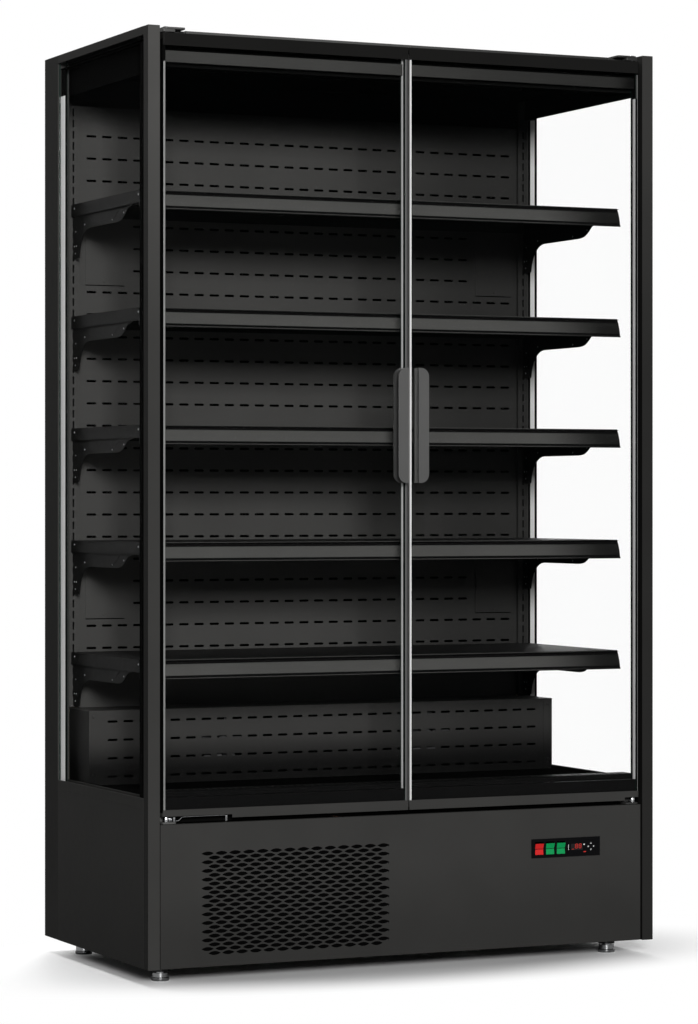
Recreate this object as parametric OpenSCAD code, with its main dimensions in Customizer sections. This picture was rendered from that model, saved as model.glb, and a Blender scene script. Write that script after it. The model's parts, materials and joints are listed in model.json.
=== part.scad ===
// Multideck display fridge with two hinged glass doors, glazed sides and five hanging shelves.
// Millimetres. +Z is up, the doors face -Y and +X is to the right of someone who faces the doors.
// The origin lies on the floor, below the middle of the whole footprint, handles included.
// Depths are measured backwards from the posts' front faces, heights from the underside of the body.

/* [Cabinet] */
// Width of the body
body_w = 1200; // [1100:10:1300]
// Depth of the body without the handles
body_d = 630; // [610:5:700]
// Height of the body without the feet
body_h = 1957; // [1930:1:2050]
// Height of the levelling feet
foot_h = 35; // [30:1:60]
// Sheet thickness of panels
sheet = 1.2; // [1:0.1:2]

/* [Posts and side walls] */
// Width of a post seen from the front
post_w = 27; // [26:1:32]
// Depth of a front post
post_d = 26; // [20:1:27]
// Depth of a rear post
rear_post_d = 85; // [70:1:95]
// Wall of the posts
post_wall = 2; // [1.5:0.5:3]
// Thickness of each pane of glass
glass_t = 4; // [3:0.5:5]
// Distance of the side glass behind the outer side face
glass_recess = 3; // [2:0.5:4]
// Overall thickness of a side glass unit
side_unit_t = 20; // [18:1:20]
// Sight width of the pale spacer at the front and rear of the side glass
spacer_w = 30; // [10:1:40]
// Height of the side top rails
top_rail_h = 18; // [16:1:30]
// Height of the lower side panels, up to the side sills
side_panel_h = 332; // [320:1:340]
// Height of the side sills
sill_h = 22.5; // [18:0.5:30]
// Depth of the glazing grooves in rails and sills
groove_d = 12.5; // [8:0.5:14]

/* [Doors] */
// Height of the doors' underside above the floor's underside
door_lift = 16; // [16:1:19]
// Distance of the doors' top below the posts' heads
door_drop = 14; // [14:1:30]
// Thickness of a door
door_t = 29; // [28:1:29]
// Distance of the doors behind the posts' front faces
door_setback = 2; // [0:0.5:2]
// Gap between a door and its post
door_gap = 7; // [6:0.5:10]
// Gap between the two doors
meeting_gap = 3; // [2:0.5:6]
// Height of the doors' top rails
door_top_h = 26; // [22:1:32]
// Height of the doors' bottom rails
door_bottom_h = 13.6; // [12:0.2:20]
// Wall of the door rails in front of and behind the glass
door_rail_wall = 2; // [1.5:0.5:3]
// Width of the pale edge profiles
edge_w = 6.5; // [5:0.5:9]
// Depth of the handles in front of the glass
handle_d = 27; // [24:1:40]
// Width of a handle
handle_w = 24; // [22:1:32]
// Height of a handle
handle_h = 246; // [150:1:400]
// Height of a handle's lower end
handle_z = 1010; // [900:1:1100]
// Corner radius of the handle leaves
handle_r = 19; // [5:1:20]
// Thickness of the handle leaves
handle_leaf = 3; // [2:0.5:4]
// Radius of the hinge pins
pin_r = 5; // [4:0.5:6]
// Distance of the hinge axis from the door's outer edge
hinge_in = 11; // [10:0.5:12]
// Distance of the hinge axis behind the door's front face
hinge_back = 12; // [11:0.5:13]

/* [Shelves] */
// Height of the lowest shelf's top above the floor
shelf_rise = 296; // [289:1:309]
// Least height between the highest shelf and the ceiling
head_space = 280; // [245:1:288]
// Pitch of the slots in the uprights
slot_pitch = 24.75; // [24:0.25:25]
// Distance of the shelves' front edge behind the posts' front faces
shelf_front = 118; // [110:1:140]
// Height of the shelves' flanges
shelf_flange = 27; // [22:1:32]
// Height of a price rail
rail_h = 36; // [30:1:42]
// Depth of a shelf bracket's arm below its shelf's top
arm_drop = 57; // [50:1:64]
// Depth of a shelf bracket's leg below its shelf's top
leg_drop = 119; // [112:1:124]
// Height that a shelf lifts to leave its hooks
lift = 8; // [6:0.5:8]

/* [Rear wall] */
// Sideways pitch of the air slots
air_pitch_x = 37; // [36:0.5:40]
// Upward pitch of the air slots
air_pitch_z = 49.5; // [45:0.5:55]
// Length of an air slot
air_l = 22; // [15:1:26]
// Height of an air slot
air_h = 4.5; // [3:0.5:8]
// Height of the lower duct's top above the floor
duct_rise = 172; // [164:1:173]

/* [Lower front] */
// Gap between the front panel and the floor's underside
panel_gap = 1; // [0.5:0.5:11]
// Distance of the front panel behind the posts' front faces
panel_setback = 4; // [3:0.5:5]
// Length of a grille hole
lens_l = 24.5; // [15:0.5:26]
// Height of a grille hole
lens_h = 7.3; // [4:0.1:8]
// Sideways pitch of the grille holes
lens_pitch_x = 31.2; // [30:0.1:34]
// Upward pitch of the grille's rows
lens_pitch_z = 9.05; // [8.8:0.05:10]
// Width of the control bezel
bezel_w = 169; // [165:1:180]
// Height of the control bezel
bezel_h = 41; // [38:1:50]

/* [Hidden] */

// Overrun of every cut, and the small gaps between pieces
cut = 1;
seam = 0.5;
touch = 0.1;
run_fit = 0.08;

// Main planes
half_w = body_w / 2;
front_y = handle_d - door_setback - door_rail_wall - (body_d + handle_d - door_setback - door_rail_wall) / 2;
post_in = half_w - post_w;
rear_y0 = body_d - rear_post_d;
rail_z0 = body_h - top_rail_h;
door_z1 = body_h - door_drop;
sill_top = side_panel_h + sill_h;
floor_drop = 31;
floor_z0 = side_panel_h - floor_drop;
floor_t = 40;
floor_top = floor_z0 + floor_t;
door_z0 = floor_z0 + door_lift;
panel_h = floor_z0 - panel_gap;
duct_z = floor_top + duct_rise;
shelf_z = floor_top + shelf_rise;
pane_out = half_w - glass_recess;
pane_in = pane_out - side_unit_t;

// Base, floor, roof and back
base_y0 = 8;
base_h = 45;
base_wall = 2.5;
gland_flange_t = 2.5;
back_skin_y = body_d - sheet - gland_flange_t - seam;
back_t = 38;
back_in = 2;
insul_y0 = body_d - back_in - back_t;
floor_y0 = 34;
canopy_t = 30;
roof_rise = 2;
roof_z = door_z1 + roof_rise;
ceiling_z = roof_z - canopy_t;
wall_gap = 0.1;
skirt_t = 6;
skirt_drop = 47;
header_t = 16;
header_drop = 39;
baffle_y = 118;
baffle_t = 6;
baffle_drop = 35;

// Feet
foot_in = 65;
foot_back = [95, 75];
foot_x = half_w - foot_in;
foot_y = [foot_back[0], body_d - foot_back[1]];
stem_r = 5;
stem_gap = 0.15;
bush_r = 11;
bush_h = 28;
pad_r = 19;
pad_h = 15;
neck_r = 9;
washer_r = 20;
washer_t = 3;
nut_r = 9;
nut_h = 6;

// Door planes, all worked out for the right-hand door
door_x0 = meeting_gap / 2;
door_x1 = post_in - door_gap;
door_y0 = door_setback;
door_y1 = door_y0 + door_t;
unit_y0 = door_y0 + door_rail_wall;
unit_y1 = door_y1 - door_rail_wall;
pane_x0 = door_x0 + edge_w;
pane_x1 = door_x1 - edge_w;
door_round = 4;
rail_floor = 7;
rail_roof = 12;
unit_z0 = door_z0 + rail_floor;
unit_z1 = door_z1 - rail_roof;
top_bar_drop = 59;
top_bar_z = door_z1 - top_bar_drop;
top_bar_h = 24;
bottom_bar_h = 25;
bar_t = 9;
hinge_x = door_x1 - hinge_in;
hinge_y = door_y0 + hinge_back;
handle_x = 12;

// Hinges, seals and torsion rod
plate_t = 5;
plate_w = 61;
plate_over = 10;
plate_back = 75;
low_plate_t = 4;
low_leg_h = 14;
low_leg_t = 4;
pin_end_gap = 0.7;
seal_gap = 0.4;
seal_h = 20;
seal_in = 9;
side_seal_t = 2;
side_seal_y = 17;
rod_r = 1.6;
rod_l = 124;
rod_up = 10;
rod_z = floor_z0 + rod_up;
clip_w = 6;
clip_up = 5;
clip_z = floor_z0 + clip_up;
clip_h = 9;

// Air outlet and lamp
grid_h = 18;
cell = 16;
cell_wall = 1;
lamp_behind = 16;
lamp_r = 9;
lamp_base_h = 22;
lamp_end = 40;

// Shelves, then their details as depths and heights below the shelf's top
shelves = 5;
shelf_step = floor((ceiling_z - head_space - shelf_z) / (shelves - 1) / slot_pitch);
shelf_side_gap = 3;
shelf_half = post_in - shelf_side_gap;
shelf_back_gap = 5;
shelf_back = rear_y0 - shelf_back_gap;
shelf_skin = 1;
bracket_in = 10;
bracket_x = post_in - bracket_in;
bracket_t = 2.2;
bracket_start = 62;
bracket_front = shelf_front + bracket_start;
nose_run = 97;
nose_drop = 36;
heel_run = 283;
bracket_heel = rear_y0 - heel_run;
bracket_curve = 66;
leg_run = 105;
bracket_leg = rear_y0 - leg_run;
hook_drop = 50;
hook_h = 8;
hook_gap = 0.3;
hook_nose = 6;
hook_slots = 2;
rail_over = 1.5;
rail_half = post_in + rail_over;
rail_lean = 16;
rail_foot_y = shelf_front - rail_lean;
knee_lean = 10;
knee_drop = 6;
rail_knee_y = shelf_front - knee_lean;
rail_t = 1.6;
rail_steps = 10;
web_t = 1.2;
web_drop = 20;

// Uprights
upright_t = 2;
upright_w = 22.8;
upright_gap = 0.2;
upright_x1 = post_in - upright_gap;
upright_x0 = upright_x1 - upright_w;
upright_wall = 1.5;
slot_w = 4;
slot_spare = 1.5;
slot_h = hook_h + lift + slot_spare;
slot_z0 = shelf_z - hook_drop - hook_gap - 2 * slot_pitch;
wall_top_gap = 67;
wall_top = ceiling_z - wall_top_gap;
upright_rise = 2;
upright_z0 = duct_z + upright_rise;
slot_count = floor((wall_top - slot_h - slot_z0) / slot_pitch);

// Slotted wall and duct
wall_behind = 7;
wall_y = rear_y0 + wall_behind;
wall_side_gap = 0.7;
wall_half = upright_x0 - wall_side_gap;
air_top_margin = 65.3;
air_top_z = wall_top - air_top_margin;
air_bottom = 120;
air_rows = 1 + floor((air_top_z - duct_z - air_bottom) / air_pitch_z);
air_columns = 1 + 2 * floor((wall_half - air_l / 2) / air_pitch_x);
blank_columns = 3;
blank_span = 3;
blank_from_top = 4;
blank_from_bottom = 5;
blank_first_rows = [blank_from_top, air_rows - blank_from_bottom];
blank_rows = [for (first = blank_first_rows, row = [0:blank_span - 1]) first + row];
blank_in = 7;
blank_x0 = ((air_columns + 1) / 2 - blank_columns) * air_pitch_x - blank_in;
blank_x1 = wall_half - blank_in;
blank_below = 33;
blank_h = 150;
blank_t = 1;
duct_d = 125;
duct_y = rear_y0 - duct_d;
duct_half = post_in;
duct_wall = 1.5;
duct_rows = 4;
duct_row_pitch = 40.3;
duct_top_row = 24.5;
duct_seam_in = 22;
duct_seam_w = 1.2;
duct_seam_d = 0.7;

// Deck and return air sill
deck_rise = 9;
deck_z = floor_top + deck_rise;
deck_front = 86;
deck_side_gap = 1;
deck_half = post_in - deck_side_gap;
deck_lip = 6;
sill_y0 = 40;
sill_y1 = 85;
sill_rise = 25;
sill_nose_r = 8;
sill_wall = 1.5;
sill_slot_w = 4;
sill_slot_l = 26;
sill_slot_pitch = 16;

// Front panel and grille
panel_side_gap = 2.5;
panel_half = post_in - panel_side_gap;
panel_flange = 14;
lens_in = 108.2;
lens_x0 = lens_in - post_in;
lens_drop = 63.4;
lens_top_z = panel_h - lens_drop;
lens_bottom = 28;
lens_rows = 1 + floor((lens_top_z - lens_bottom) / lens_pitch_z);
lens_columns = 14;
bezel_in = 275.5;
bezel_x0 = post_in - bezel_in;
bezel_drop = 107;
bezel_z0 = panel_h - bezel_drop;
bezel_t = 3;
bezel_mid_z = bezel_z0 + bezel_h / 2;
cutout_edge = 4;

// Rocker switches and thermostat
rocker_w = 20;
rocker_h = 28.6;
rocker_pitch = 26.7;
rocker_in = 18.5;
rocker_x0 = bezel_x0 + rocker_in;
rocker_sink = 8;
rocker_y = panel_setback + rocker_sink;
rocker_tilt = 7;
rocker_gap = 0.3;
rocker_half_h = 12.2;
rocker_face = 12.5;
rocker_dip = 3;
rocker_neck = 9;
rocker_tail = 6;
rocker_pin_r = 1.5;
rocker_pin_l = 2;
switch_body_d = 28;
thermo_in = 88.5;
thermo_x0 = bezel_x0 + thermo_in;
thermo_w = 67;
thermo_edge = 4.5;
thermo_h = bezel_h - 2 * thermo_edge;
thermo_d = 45;
thermo_proud = 0.5;
window_w = 30;
window_h = 14;
window_in = 8;
window_d = 0.8;
key_in = 57;
key_x = thermo_x0 + key_in;
key_z = bezel_mid_z;
key_spread = 7;
key_r = 2.8;
key_proud = 1.3;
key_l = 6;
key_travel = 1;

// Machine bay
bay_z = base_wall;
cond_in = 103;
cond_end = -60;
cond_x = [cond_in - post_in, cond_end];
cond_y = [48, 98];
cond_drop = 57;
cond_z = [24, floor_z0 - cond_drop];
cond_fin_pitch = 12;
cond_groove_w = 8;
cond_core = 8;
cond_side_t = 3;
cond_tube_r = 5;
cond_bends = 4;
shroud_t = 2;
fan_c = [-265, 150];
fan_r = 95;
fan_y0 = 106;
fan_t = 26;
fan_hub_r = 30;
fan_blade_t = 2;
fan_blades = 5;
fan_blade_angle = 30;
fan_blade_share = 0.65;
fan_hub_skin = 4;
fan_ring_gap = 4;
motor_r = 38;
motor_l = 55;
motor_shaft_r = 4;
motor_stand_w = 40;
motor_stand_t = 18;
motor_stand_in = 18;
comp_c = [140, 330];
comp_r = 88;
comp_h = 175;
comp_dome = 28;
comp_plate = 210;
comp_plate_t = 3;
comp_grommet_r = 14;
comp_grommet_h = 14;
comp_box = [26, 62, 70];
evap_in = 73;
evap_behind = 66;
evap_x = post_in - evap_in;
evap_y = [duct_y + evap_behind, insul_y0];
evap_drop = 13;
evap_z = [floor_top, duct_z - evap_drop];
evap_fin_pitch = 14;
evap_groove_w = 10;
evap_core = 12;
efan_x = 250;
efan_rise = 89;
efan_z = floor_top + efan_rise;
efan_r = 60;
efan_behind = 8;
efan_y0 = duct_y + efan_behind;
efan_t = 20;
efan_hub_r = 20;
emotor_r = 28;
emotor_l = 37;
emotor_stand_t = 12;
tray_start = 260;
tray_in = 58;
tray_d = 160;
tray_x = [tray_start, post_in - tray_in];
tray_y = [insul_y0 - tray_d, insul_y0];
tray_h = 50;
tray_wall = 2;
drain_x = 400;
drain_back = 160;
drain_c = [drain_x, body_d - drain_back];
drain_r = 11;
drain_bore_r = 8;
drain_l = 45;
box_in = [273, 103];
box_x = [post_in - box_in[0], post_in - box_in[1]];
box_y = [80, 170];
box_drop = 21;
box_z = [110, floor_z0 - box_drop];
box_foot_w = 20;
gland_in = 73;
gland_x = post_in - gland_in;
gland_z = 70;
gland_r = 9;
gland_bore_r = 5;
gland_l = 24;
gland_flange_r = 13;
cover_slot_x = 216;
cover_slot_l = 180;
cover_slot_h = 6;
cover_slot_pitch = 22;
cover_slot_rows = 8;
screw_r = 4;
screw_head_h = 2;
screw_in = 33;
screw_x = [for (share = [-1, -1 / 2, 0, 1 / 2, 1]) share * (post_in - screw_in)];
screw_drop = 21;
screw_z = [20, floor_z0 - screw_drop];
pipe_r = 5;
thin_pipe_r = 3;
pipe_out = 15;
pipe_fore = 50;
thin_pipe_out = 30;
thin_pipe_fore = 90;
pipe_x = -evap_x - pipe_out;
pipe_y = insul_y0 - pipe_fore;
thin_pipe_x = -evap_x - thin_pipe_out;
thin_pipe_y = insul_y0 - thin_pipe_fore;
pipe_turn_x = -30;
thin_turn_x = -20;
pipe_z = 104;
discharge_z = 134;
liquid_z = 79;
under_floor_drop = 31;
under_floor_z = floor_z0 - under_floor_drop;
pipe_end_rise = 14;
pipe_end_z = floor_top + pipe_end_rise;
pipe_clear = 2;
drier_r = 11;
drier_y = 200;
drier_z = 110;
drier_l = 90;

// Places behind the posts' front faces and above the body's underside
function fy(depth) = front_y + depth;
function uz(height) = foot_h + height;
function shelf_top(number) = shelf_z + (number - 1) * shelf_step * slot_pitch;

// A block between two depths, two widths and two heights
module block(x0, x1, y0, y1, z0, z1) {
    translate([x0, fy(y0), uz(z0)]) cube([x1 - x0, y1 - y0, z1 - z0]);
}

// A copy on each side of the middle
module both_sides() {
    children();
    mirror([1, 0, 0]) children();
}

// An upright flat shape drawn in width and height, its front at one depth
module upright_sheet(depth, thickness) {
    translate([0, fy(depth + thickness), uz(0)]) rotate([90, 0, 0]) linear_extrude(thickness) children();
}

// A cylinder that runs backwards from one depth
module rod_y(x, depth, height, radius, length) {
    translate([x, fy(depth), uz(height)]) rotate([-90, 0, 0]) cylinder(r = radius, h = length, $fn = 48);
}

// A cylinder that runs upwards from one height
module rod_z(x, depth, height, radius, length) {
    translate([x, fy(depth), uz(height)]) cylinder(r = radius, h = length, $fn = 48);
}

// A cylinder that runs to the right from one place
module rod_x(x, depth, height, radius, length) {
    translate([x, fy(depth), uz(height)]) rotate([0, 90, 0]) cylinder(r = radius, h = length, $fn = 48);
}

// A profile drawn in depth and height, extruded from one width to another
module side_profile(x0, x1) {
    translate([x0, fy(0), uz(0)]) rotate([90, 0, 90]) linear_extrude(x1 - x0) children();
}

module feet_places() {
    for (side = [-1, 1], depth = foot_y) translate([side * foot_x, fy(depth), uz(0)]) children();
}

// Welded base tray with four threaded bushes for the feet
module base_frame() color("#2b2d2f") {
    difference() {
        union() {
            difference() {
                block(-post_in, post_in, base_y0, back_skin_y, 0, base_h);
                block(base_wall - post_in, post_in - base_wall, base_y0 + base_wall, back_skin_y - base_wall,
                      base_wall, base_h + cut);
            }
            feet_places() cylinder(r = bush_r, h = bush_h, $fn = 48);
        }
        feet_places() translate([0, 0, -cut]) cylinder(r = stem_r + stem_gap, h = bush_h + 2 * cut, $fn = 48);
        rod_y(gland_x, back_skin_y - base_wall - cut, gland_z, gland_r + touch, base_wall + 2 * cut);
    }
}

// Four levelling feet with stem, lock nut and washer
module levelling_feet() color("#b9bcc0") {
    feet_places() {
        translate([0, 0, -foot_h]) cylinder(r = pad_r, h = pad_h, $fn = 48);
        translate([0, 0, -foot_h]) cylinder(r = neck_r, h = foot_h - nut_h, $fn = 48);
        translate([0, 0, -washer_t]) cylinder(r = washer_r, h = washer_t, $fn = 48);
        translate([0, 0, -washer_t - nut_h]) cylinder(r = nut_r, h = nut_h, $fn = 6);
        translate([0, 0, -foot_h]) cylinder(r = stem_r, h = foot_h + bush_h - stem_gap, $fn = 48);
    }
}

// A hollow post, open at its foot and closed at its head
module post(depth0, depth1) {
    difference() {
        block(post_in, half_w, depth0, depth1, 0, body_h);
        block(post_in + post_wall, half_w - post_wall, depth0 + post_wall, depth1 - post_wall,
              -cut, body_h - post_wall);
    }
}

module front_posts() color("#4b4d50") both_sides() post(0, post_d);

module rear_posts() color("#2a2b2d") both_sides() post(rear_y0, body_d);

// Top rails and sills, each with a groove that holds the side glass
module side_rails() color("#303133") both_sides() {
    difference() {
        block(post_in, half_w, post_d, rear_y0, rail_z0, body_h);
        block(pane_in, pane_out, post_d - cut, rear_y0 + cut, rail_z0 - cut, rail_z0 + groove_d);
    }
    difference() {
        block(post_in, half_w, post_d, rear_y0, side_panel_h, sill_top);
        block(pane_in, pane_out, post_d - cut, rear_y0 + cut, sill_top - groove_d, sill_top + cut);
    }
}

// Lower side panels with flanges that reach in to the base
module side_panels() color("#242526") both_sides() {
    block(half_w - sheet, half_w, post_d, rear_y0, 0, side_panel_h);
    block(post_in, half_w - sheet, post_d, rear_y0, side_panel_h - sheet, side_panel_h);
    block(post_in, half_w - sheet, post_d, rear_y0, 0, sheet);
}

// Two panes of one side
module side_panes() {
    for (x = [pane_in, pane_out - glass_t])
        block(x, x + glass_t, post_d + seam, rear_y0 - seam, sill_top - groove_d, rail_z0 + groove_d - seam);
}

module side_glass_right() color("#a9c4c4", 0.4) side_panes();

module side_glass_left() color("#a9c4c4", 0.4) mirror([1, 0, 0]) side_panes();

// Pale spacer frames between the panes, wide at the front and at the rear
module side_glass_spacers() color("#d9dadb") both_sides() {
    difference() {
        block(pane_in + glass_t, pane_out - glass_t, post_d + seam, rear_y0 - seam,
              sill_top - groove_d, rail_z0 + groove_d - seam);
        block(pane_in + glass_t - cut, pane_out - glass_t + cut, post_d + spacer_w, rear_y0 - spacer_w,
              sill_top, rail_z0);
    }
}

// A sheet box around a foam core, open towards the rear
module core_box(half, z0, z1) {
    difference() {
        block(-half, half, floor_y0, insul_y0, z0, z1);
        block(sheet - half, half - sheet, floor_y0 + sheet, insul_y0 + cut, z0 + sheet, z1 - sheet);
    }
}

// Head of the cabinet with side skirts, front header and an air baffle
module canopy() color("#1d1e1f") {
    core_box(post_in, ceiling_z, roof_z);
    both_sides() block(post_in - skirt_t, post_in, floor_y0, rear_y0, ceiling_z - skirt_drop, ceiling_z);
    block(-post_in + skirt_t, post_in - skirt_t, floor_y0, floor_y0 + header_t,
          ceiling_z - header_drop, ceiling_z);
    block(-post_in + skirt_t, post_in - skirt_t, baffle_y, baffle_y + baffle_t,
          ceiling_z - baffle_drop, ceiling_z);
}

// Grid that straightens the air curtain, held between header and baffle
module air_outlet_grid() color("#8d9092") {
    grid_x = post_in - skirt_t - seam;
    grid_y0 = floor_y0 + header_t;
    cells_x = floor((2 * grid_x - cell_wall) / cell);
    cells_y = floor((baffle_y - grid_y0 - cell_wall) / cell);
    translate([0, fy(grid_y0), uz(ceiling_z - baffle_drop)]) linear_extrude(grid_h) difference() {
        translate([-grid_x, 0]) square([2 * grid_x, baffle_y - grid_y0]);
        for (column = [0:cells_x - 1], row = [0:cells_y - 1])
            translate([(column - cells_x / 2) * cell + cell_wall / 2, cell_wall + row * cell])
                square(cell - cell_wall);
    }
}

// Lamp profile under the ceiling, just behind the baffle
module lamp() color("#e8e8e2") {
    lamp_y = baffle_y + lamp_behind;
    side_profile(lamp_end - post_in, post_in - lamp_end) {
        translate([lamp_y - lamp_r, ceiling_z - lamp_base_h]) square([2 * lamp_r, lamp_base_h]);
        translate([lamp_y, ceiling_z - lamp_base_h]) circle(lamp_r, $fn = 48);
    }
}

// Back panel, and below it the louvred cover of the machine bay with its screws
module rear_panels() color("#232425") {
    half = post_in - touch;
    block(-half, half, insul_y0 + back_t - sheet, insul_y0 + back_t, floor_z0, body_h - sheet);
    both_sides() block(half - sheet, half, insul_y0, insul_y0 + back_t - sheet, floor_z0, body_h - sheet);
    for (z = [floor_z0, body_h - 2 * sheet])
        block(-half + sheet, half - sheet, insul_y0, insul_y0 + back_t - sheet, z, z + sheet);
    difference() {
        block(-half, half, back_skin_y, back_skin_y + sheet, 0, floor_z0 - seam);
        for (side = [-1, 1], row = [1:cover_slot_rows]) {
            slot_x = side * cover_slot_x - cover_slot_l / 2;
            slot_z = base_h + row * cover_slot_pitch;
            block(slot_x, slot_x + cover_slot_l, back_skin_y - cut, back_skin_y + sheet + cut,
                  slot_z, slot_z + cover_slot_h);
        }
        rod_y(gland_x, back_skin_y - cut, gland_z, gland_r + touch, sheet + 2 * cut);
        for (x = screw_x, z = screw_z) rod_y(x, back_skin_y - cut, z, screw_r / 2 + touch, sheet + 2 * cut);
    }
    for (x = screw_x, z = screw_z) {
        rod_y(x, back_skin_y + sheet, z, screw_r, screw_head_h);
        rod_y(x, back_skin_y + seam, z, screw_r / 2, sheet);
    }
}

module pipe_holes() {
    rod_z(drain_c[0], drain_c[1], floor_z0 - cut, drain_r + touch, floor_t + 2 * cut);
    rod_z(pipe_x, pipe_y, floor_z0 - cut, pipe_r + pipe_clear, floor_t + 2 * cut);
    rod_z(thin_pipe_x, thin_pipe_y, floor_z0 - cut, thin_pipe_r + pipe_clear, floor_t + 2 * cut);
}

// Foam cores of the head, the floor and the back
module insulation() color("#d8cf9c") {
    half = post_in - touch - sheet - wall_gap;
    block(-half, half, floor_y0 + sheet, insul_y0, ceiling_z + sheet, roof_z - sheet);
    difference() {
        block(-half, half, floor_y0 + sheet, insul_y0, floor_z0 + sheet, floor_top - sheet);
        pipe_holes();
    }
    block(-half, half, insul_y0, insul_y0 + back_t - sheet, floor_z0 + sheet, body_h - 2 * sheet);
}

function is_blank(row, column) =
    (column < blank_columns || column >= air_columns - blank_columns)
    && len([for (blank = blank_rows) if (blank == row) blank]) > 0;

// Rear wall of the display space with its rows of air slots, and four blanking plates
module slotted_wall() color("#3f4143") {
    upright_sheet(wall_y, sheet) difference() {
        translate([-wall_half, duct_z]) square([2 * wall_half, wall_top - duct_z]);
        for (row = [0:air_rows - 1], column = [0:air_columns - 1])
            if (!is_blank(row, column))
                translate([(column - (air_columns - 1) / 2) * air_pitch_x, air_top_z - row * air_pitch_z])
                    square([air_l, air_h], center = true);
    }
    both_sides() block(wall_half - sheet, wall_half, wall_y + sheet, insul_y0, duct_z, wall_top);
    both_sides() for (row = blank_first_rows) {
        plate_z = air_top_z - (row + blank_span - 1) * air_pitch_z - blank_below;
        block(blank_x0, blank_x1, wall_y - touch - blank_t, wall_y - touch, plate_z, plate_z + blank_h);
    }
}

// Slotted uprights that carry the shelf hooks
module shelf_uprights() color("#3a3c3e") both_sides() {
    difference() {
        union() {
            block(upright_x0, upright_x1, rear_y0, rear_y0 + upright_t, upright_z0, wall_top);
            block(upright_x0, upright_x0 + sheet / 2, rear_y0 + upright_t, insul_y0, upright_z0, wall_top);
            block(upright_x1 - upright_wall, upright_x1, rear_y0 + upright_t, insul_y0, upright_z0, wall_top);
        }
        for (number = [0:slot_count])
            block(bracket_x - slot_w / 2, bracket_x + slot_w / 2, rear_y0 - cut, rear_y0 + upright_t + cut,
                  slot_z0 + number * slot_pitch, slot_z0 + number * slot_pitch + slot_h);
    }
}

// Box in front of the evaporator, slotted for the return air, with a seam near its right-hand end
module lower_duct() color("#3d3f41") {
    difference() {
        upright_sheet(duct_y, duct_wall) difference() {
            translate([-duct_half, deck_z]) square([2 * duct_half, duct_z - deck_z]);
            for (row = [0:duct_rows - 1], column = [0:air_columns - 1])
                translate([(column - (air_columns - 1) / 2) * air_pitch_x,
                           duct_z - duct_top_row - row * duct_row_pitch])
                    square([air_l, air_h], center = true);
        }
        block(duct_half - duct_seam_in - duct_seam_w, duct_half - duct_seam_in, duct_y - cut, duct_y + duct_seam_d,
              deck_z - cut, duct_z + cut);
    }
    block(-duct_half, duct_half, duct_y + duct_wall, rear_y0 - seam, duct_z - duct_wall, duct_z);
    block(-wall_half, wall_half, rear_y0 - seam, wall_y + sheet, duct_z - duct_wall, duct_z);
    both_sides() block(duct_half - duct_wall, duct_half, duct_y + duct_wall, rear_y0 - seam,
                       floor_top, duct_z - duct_wall);
}

// Deck over the floor, with a low lip at each end
module deck_tray() color("#2e3032") {
    block(-deck_half, deck_half, deck_front, duct_y + duct_wall, deck_z - sheet - touch, deck_z - touch);
    for (y = [deck_front, duct_y + duct_wall - sheet])
        block(-deck_half, deck_half, y, y + sheet, floor_top, deck_z - sheet - touch);
    both_sides() block(deck_half - sheet, deck_half, deck_front, duct_y - touch, deck_z - touch, deck_z + deck_lip);
}

// Hollow sill at the front of the deck, slotted along its top for the returning air
module return_air_sill() color("#5b5e61") {
    slots = floor(2 * (deck_half - sill_slot_pitch) / sill_slot_pitch);
    difference() {
        side_profile(-deck_half, deck_half) difference() {
            union() {
                translate([sill_y0, floor_top]) square([sill_y1 - sill_y0, sill_rise - sill_nose_r]);
                translate([sill_y0 + sill_nose_r, floor_top]) square([sill_y1 - sill_y0 - sill_nose_r, sill_rise]);
                translate([sill_y0 + sill_nose_r, floor_top + sill_rise - sill_nose_r])
                    circle(sill_nose_r, $fn = 48);
            }
            translate([sill_y0 + sill_wall, floor_top - cut])
                square([sill_y1 - sill_y0 - 2 * sill_wall, sill_rise - sill_nose_r + cut]);
            translate([sill_y0 + sill_nose_r, floor_top])
                square([sill_y1 - sill_y0 - sill_nose_r - sill_wall, sill_rise - sill_wall]);
        }
        for (number = [0:slots - 1])
            translate([(number - (slots - 1) / 2) * sill_slot_pitch - sill_slot_w / 2, 0, 0])
                block(0, sill_slot_w, sill_y0 + sill_nose_r, sill_y0 + sill_nose_r + sill_slot_l,
                      floor_top + sill_rise - sill_wall - cut, floor_top + sill_rise + cut);
    }
}

// Floor between the display space and the machine bay, with its drain spigot and pipe holes
module floor_box() color("#2c2e30") {
    difference() {
        core_box(post_in - touch, floor_z0, floor_top);
        pipe_holes();
    }
    difference() {
        rod_z(drain_c[0], drain_c[1], floor_z0 - drain_l, drain_r, drain_l + floor_t);
        rod_z(drain_c[0], drain_c[1], floor_z0 - drain_l - cut, drain_bore_r, drain_l + floor_t + 2 * cut);
    }
}

// Rubber seals behind the doors' rails and beside their hinge edges
module door_seals() color("#141414") {
    seal_x = hinge_x - seal_in;
    block(-seal_x, seal_x, door_y1 + seal_gap, floor_y0, door_z1 - door_top_h, door_z1 - door_top_h + seal_h);
    block(-seal_x, seal_x, door_y1 + seal_gap, floor_y0, door_z0 + seam, door_z0 + seal_h);
    both_sides() block(post_in - side_seal_t, post_in, side_seal_y, post_d, panel_h, door_z1);
}

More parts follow.
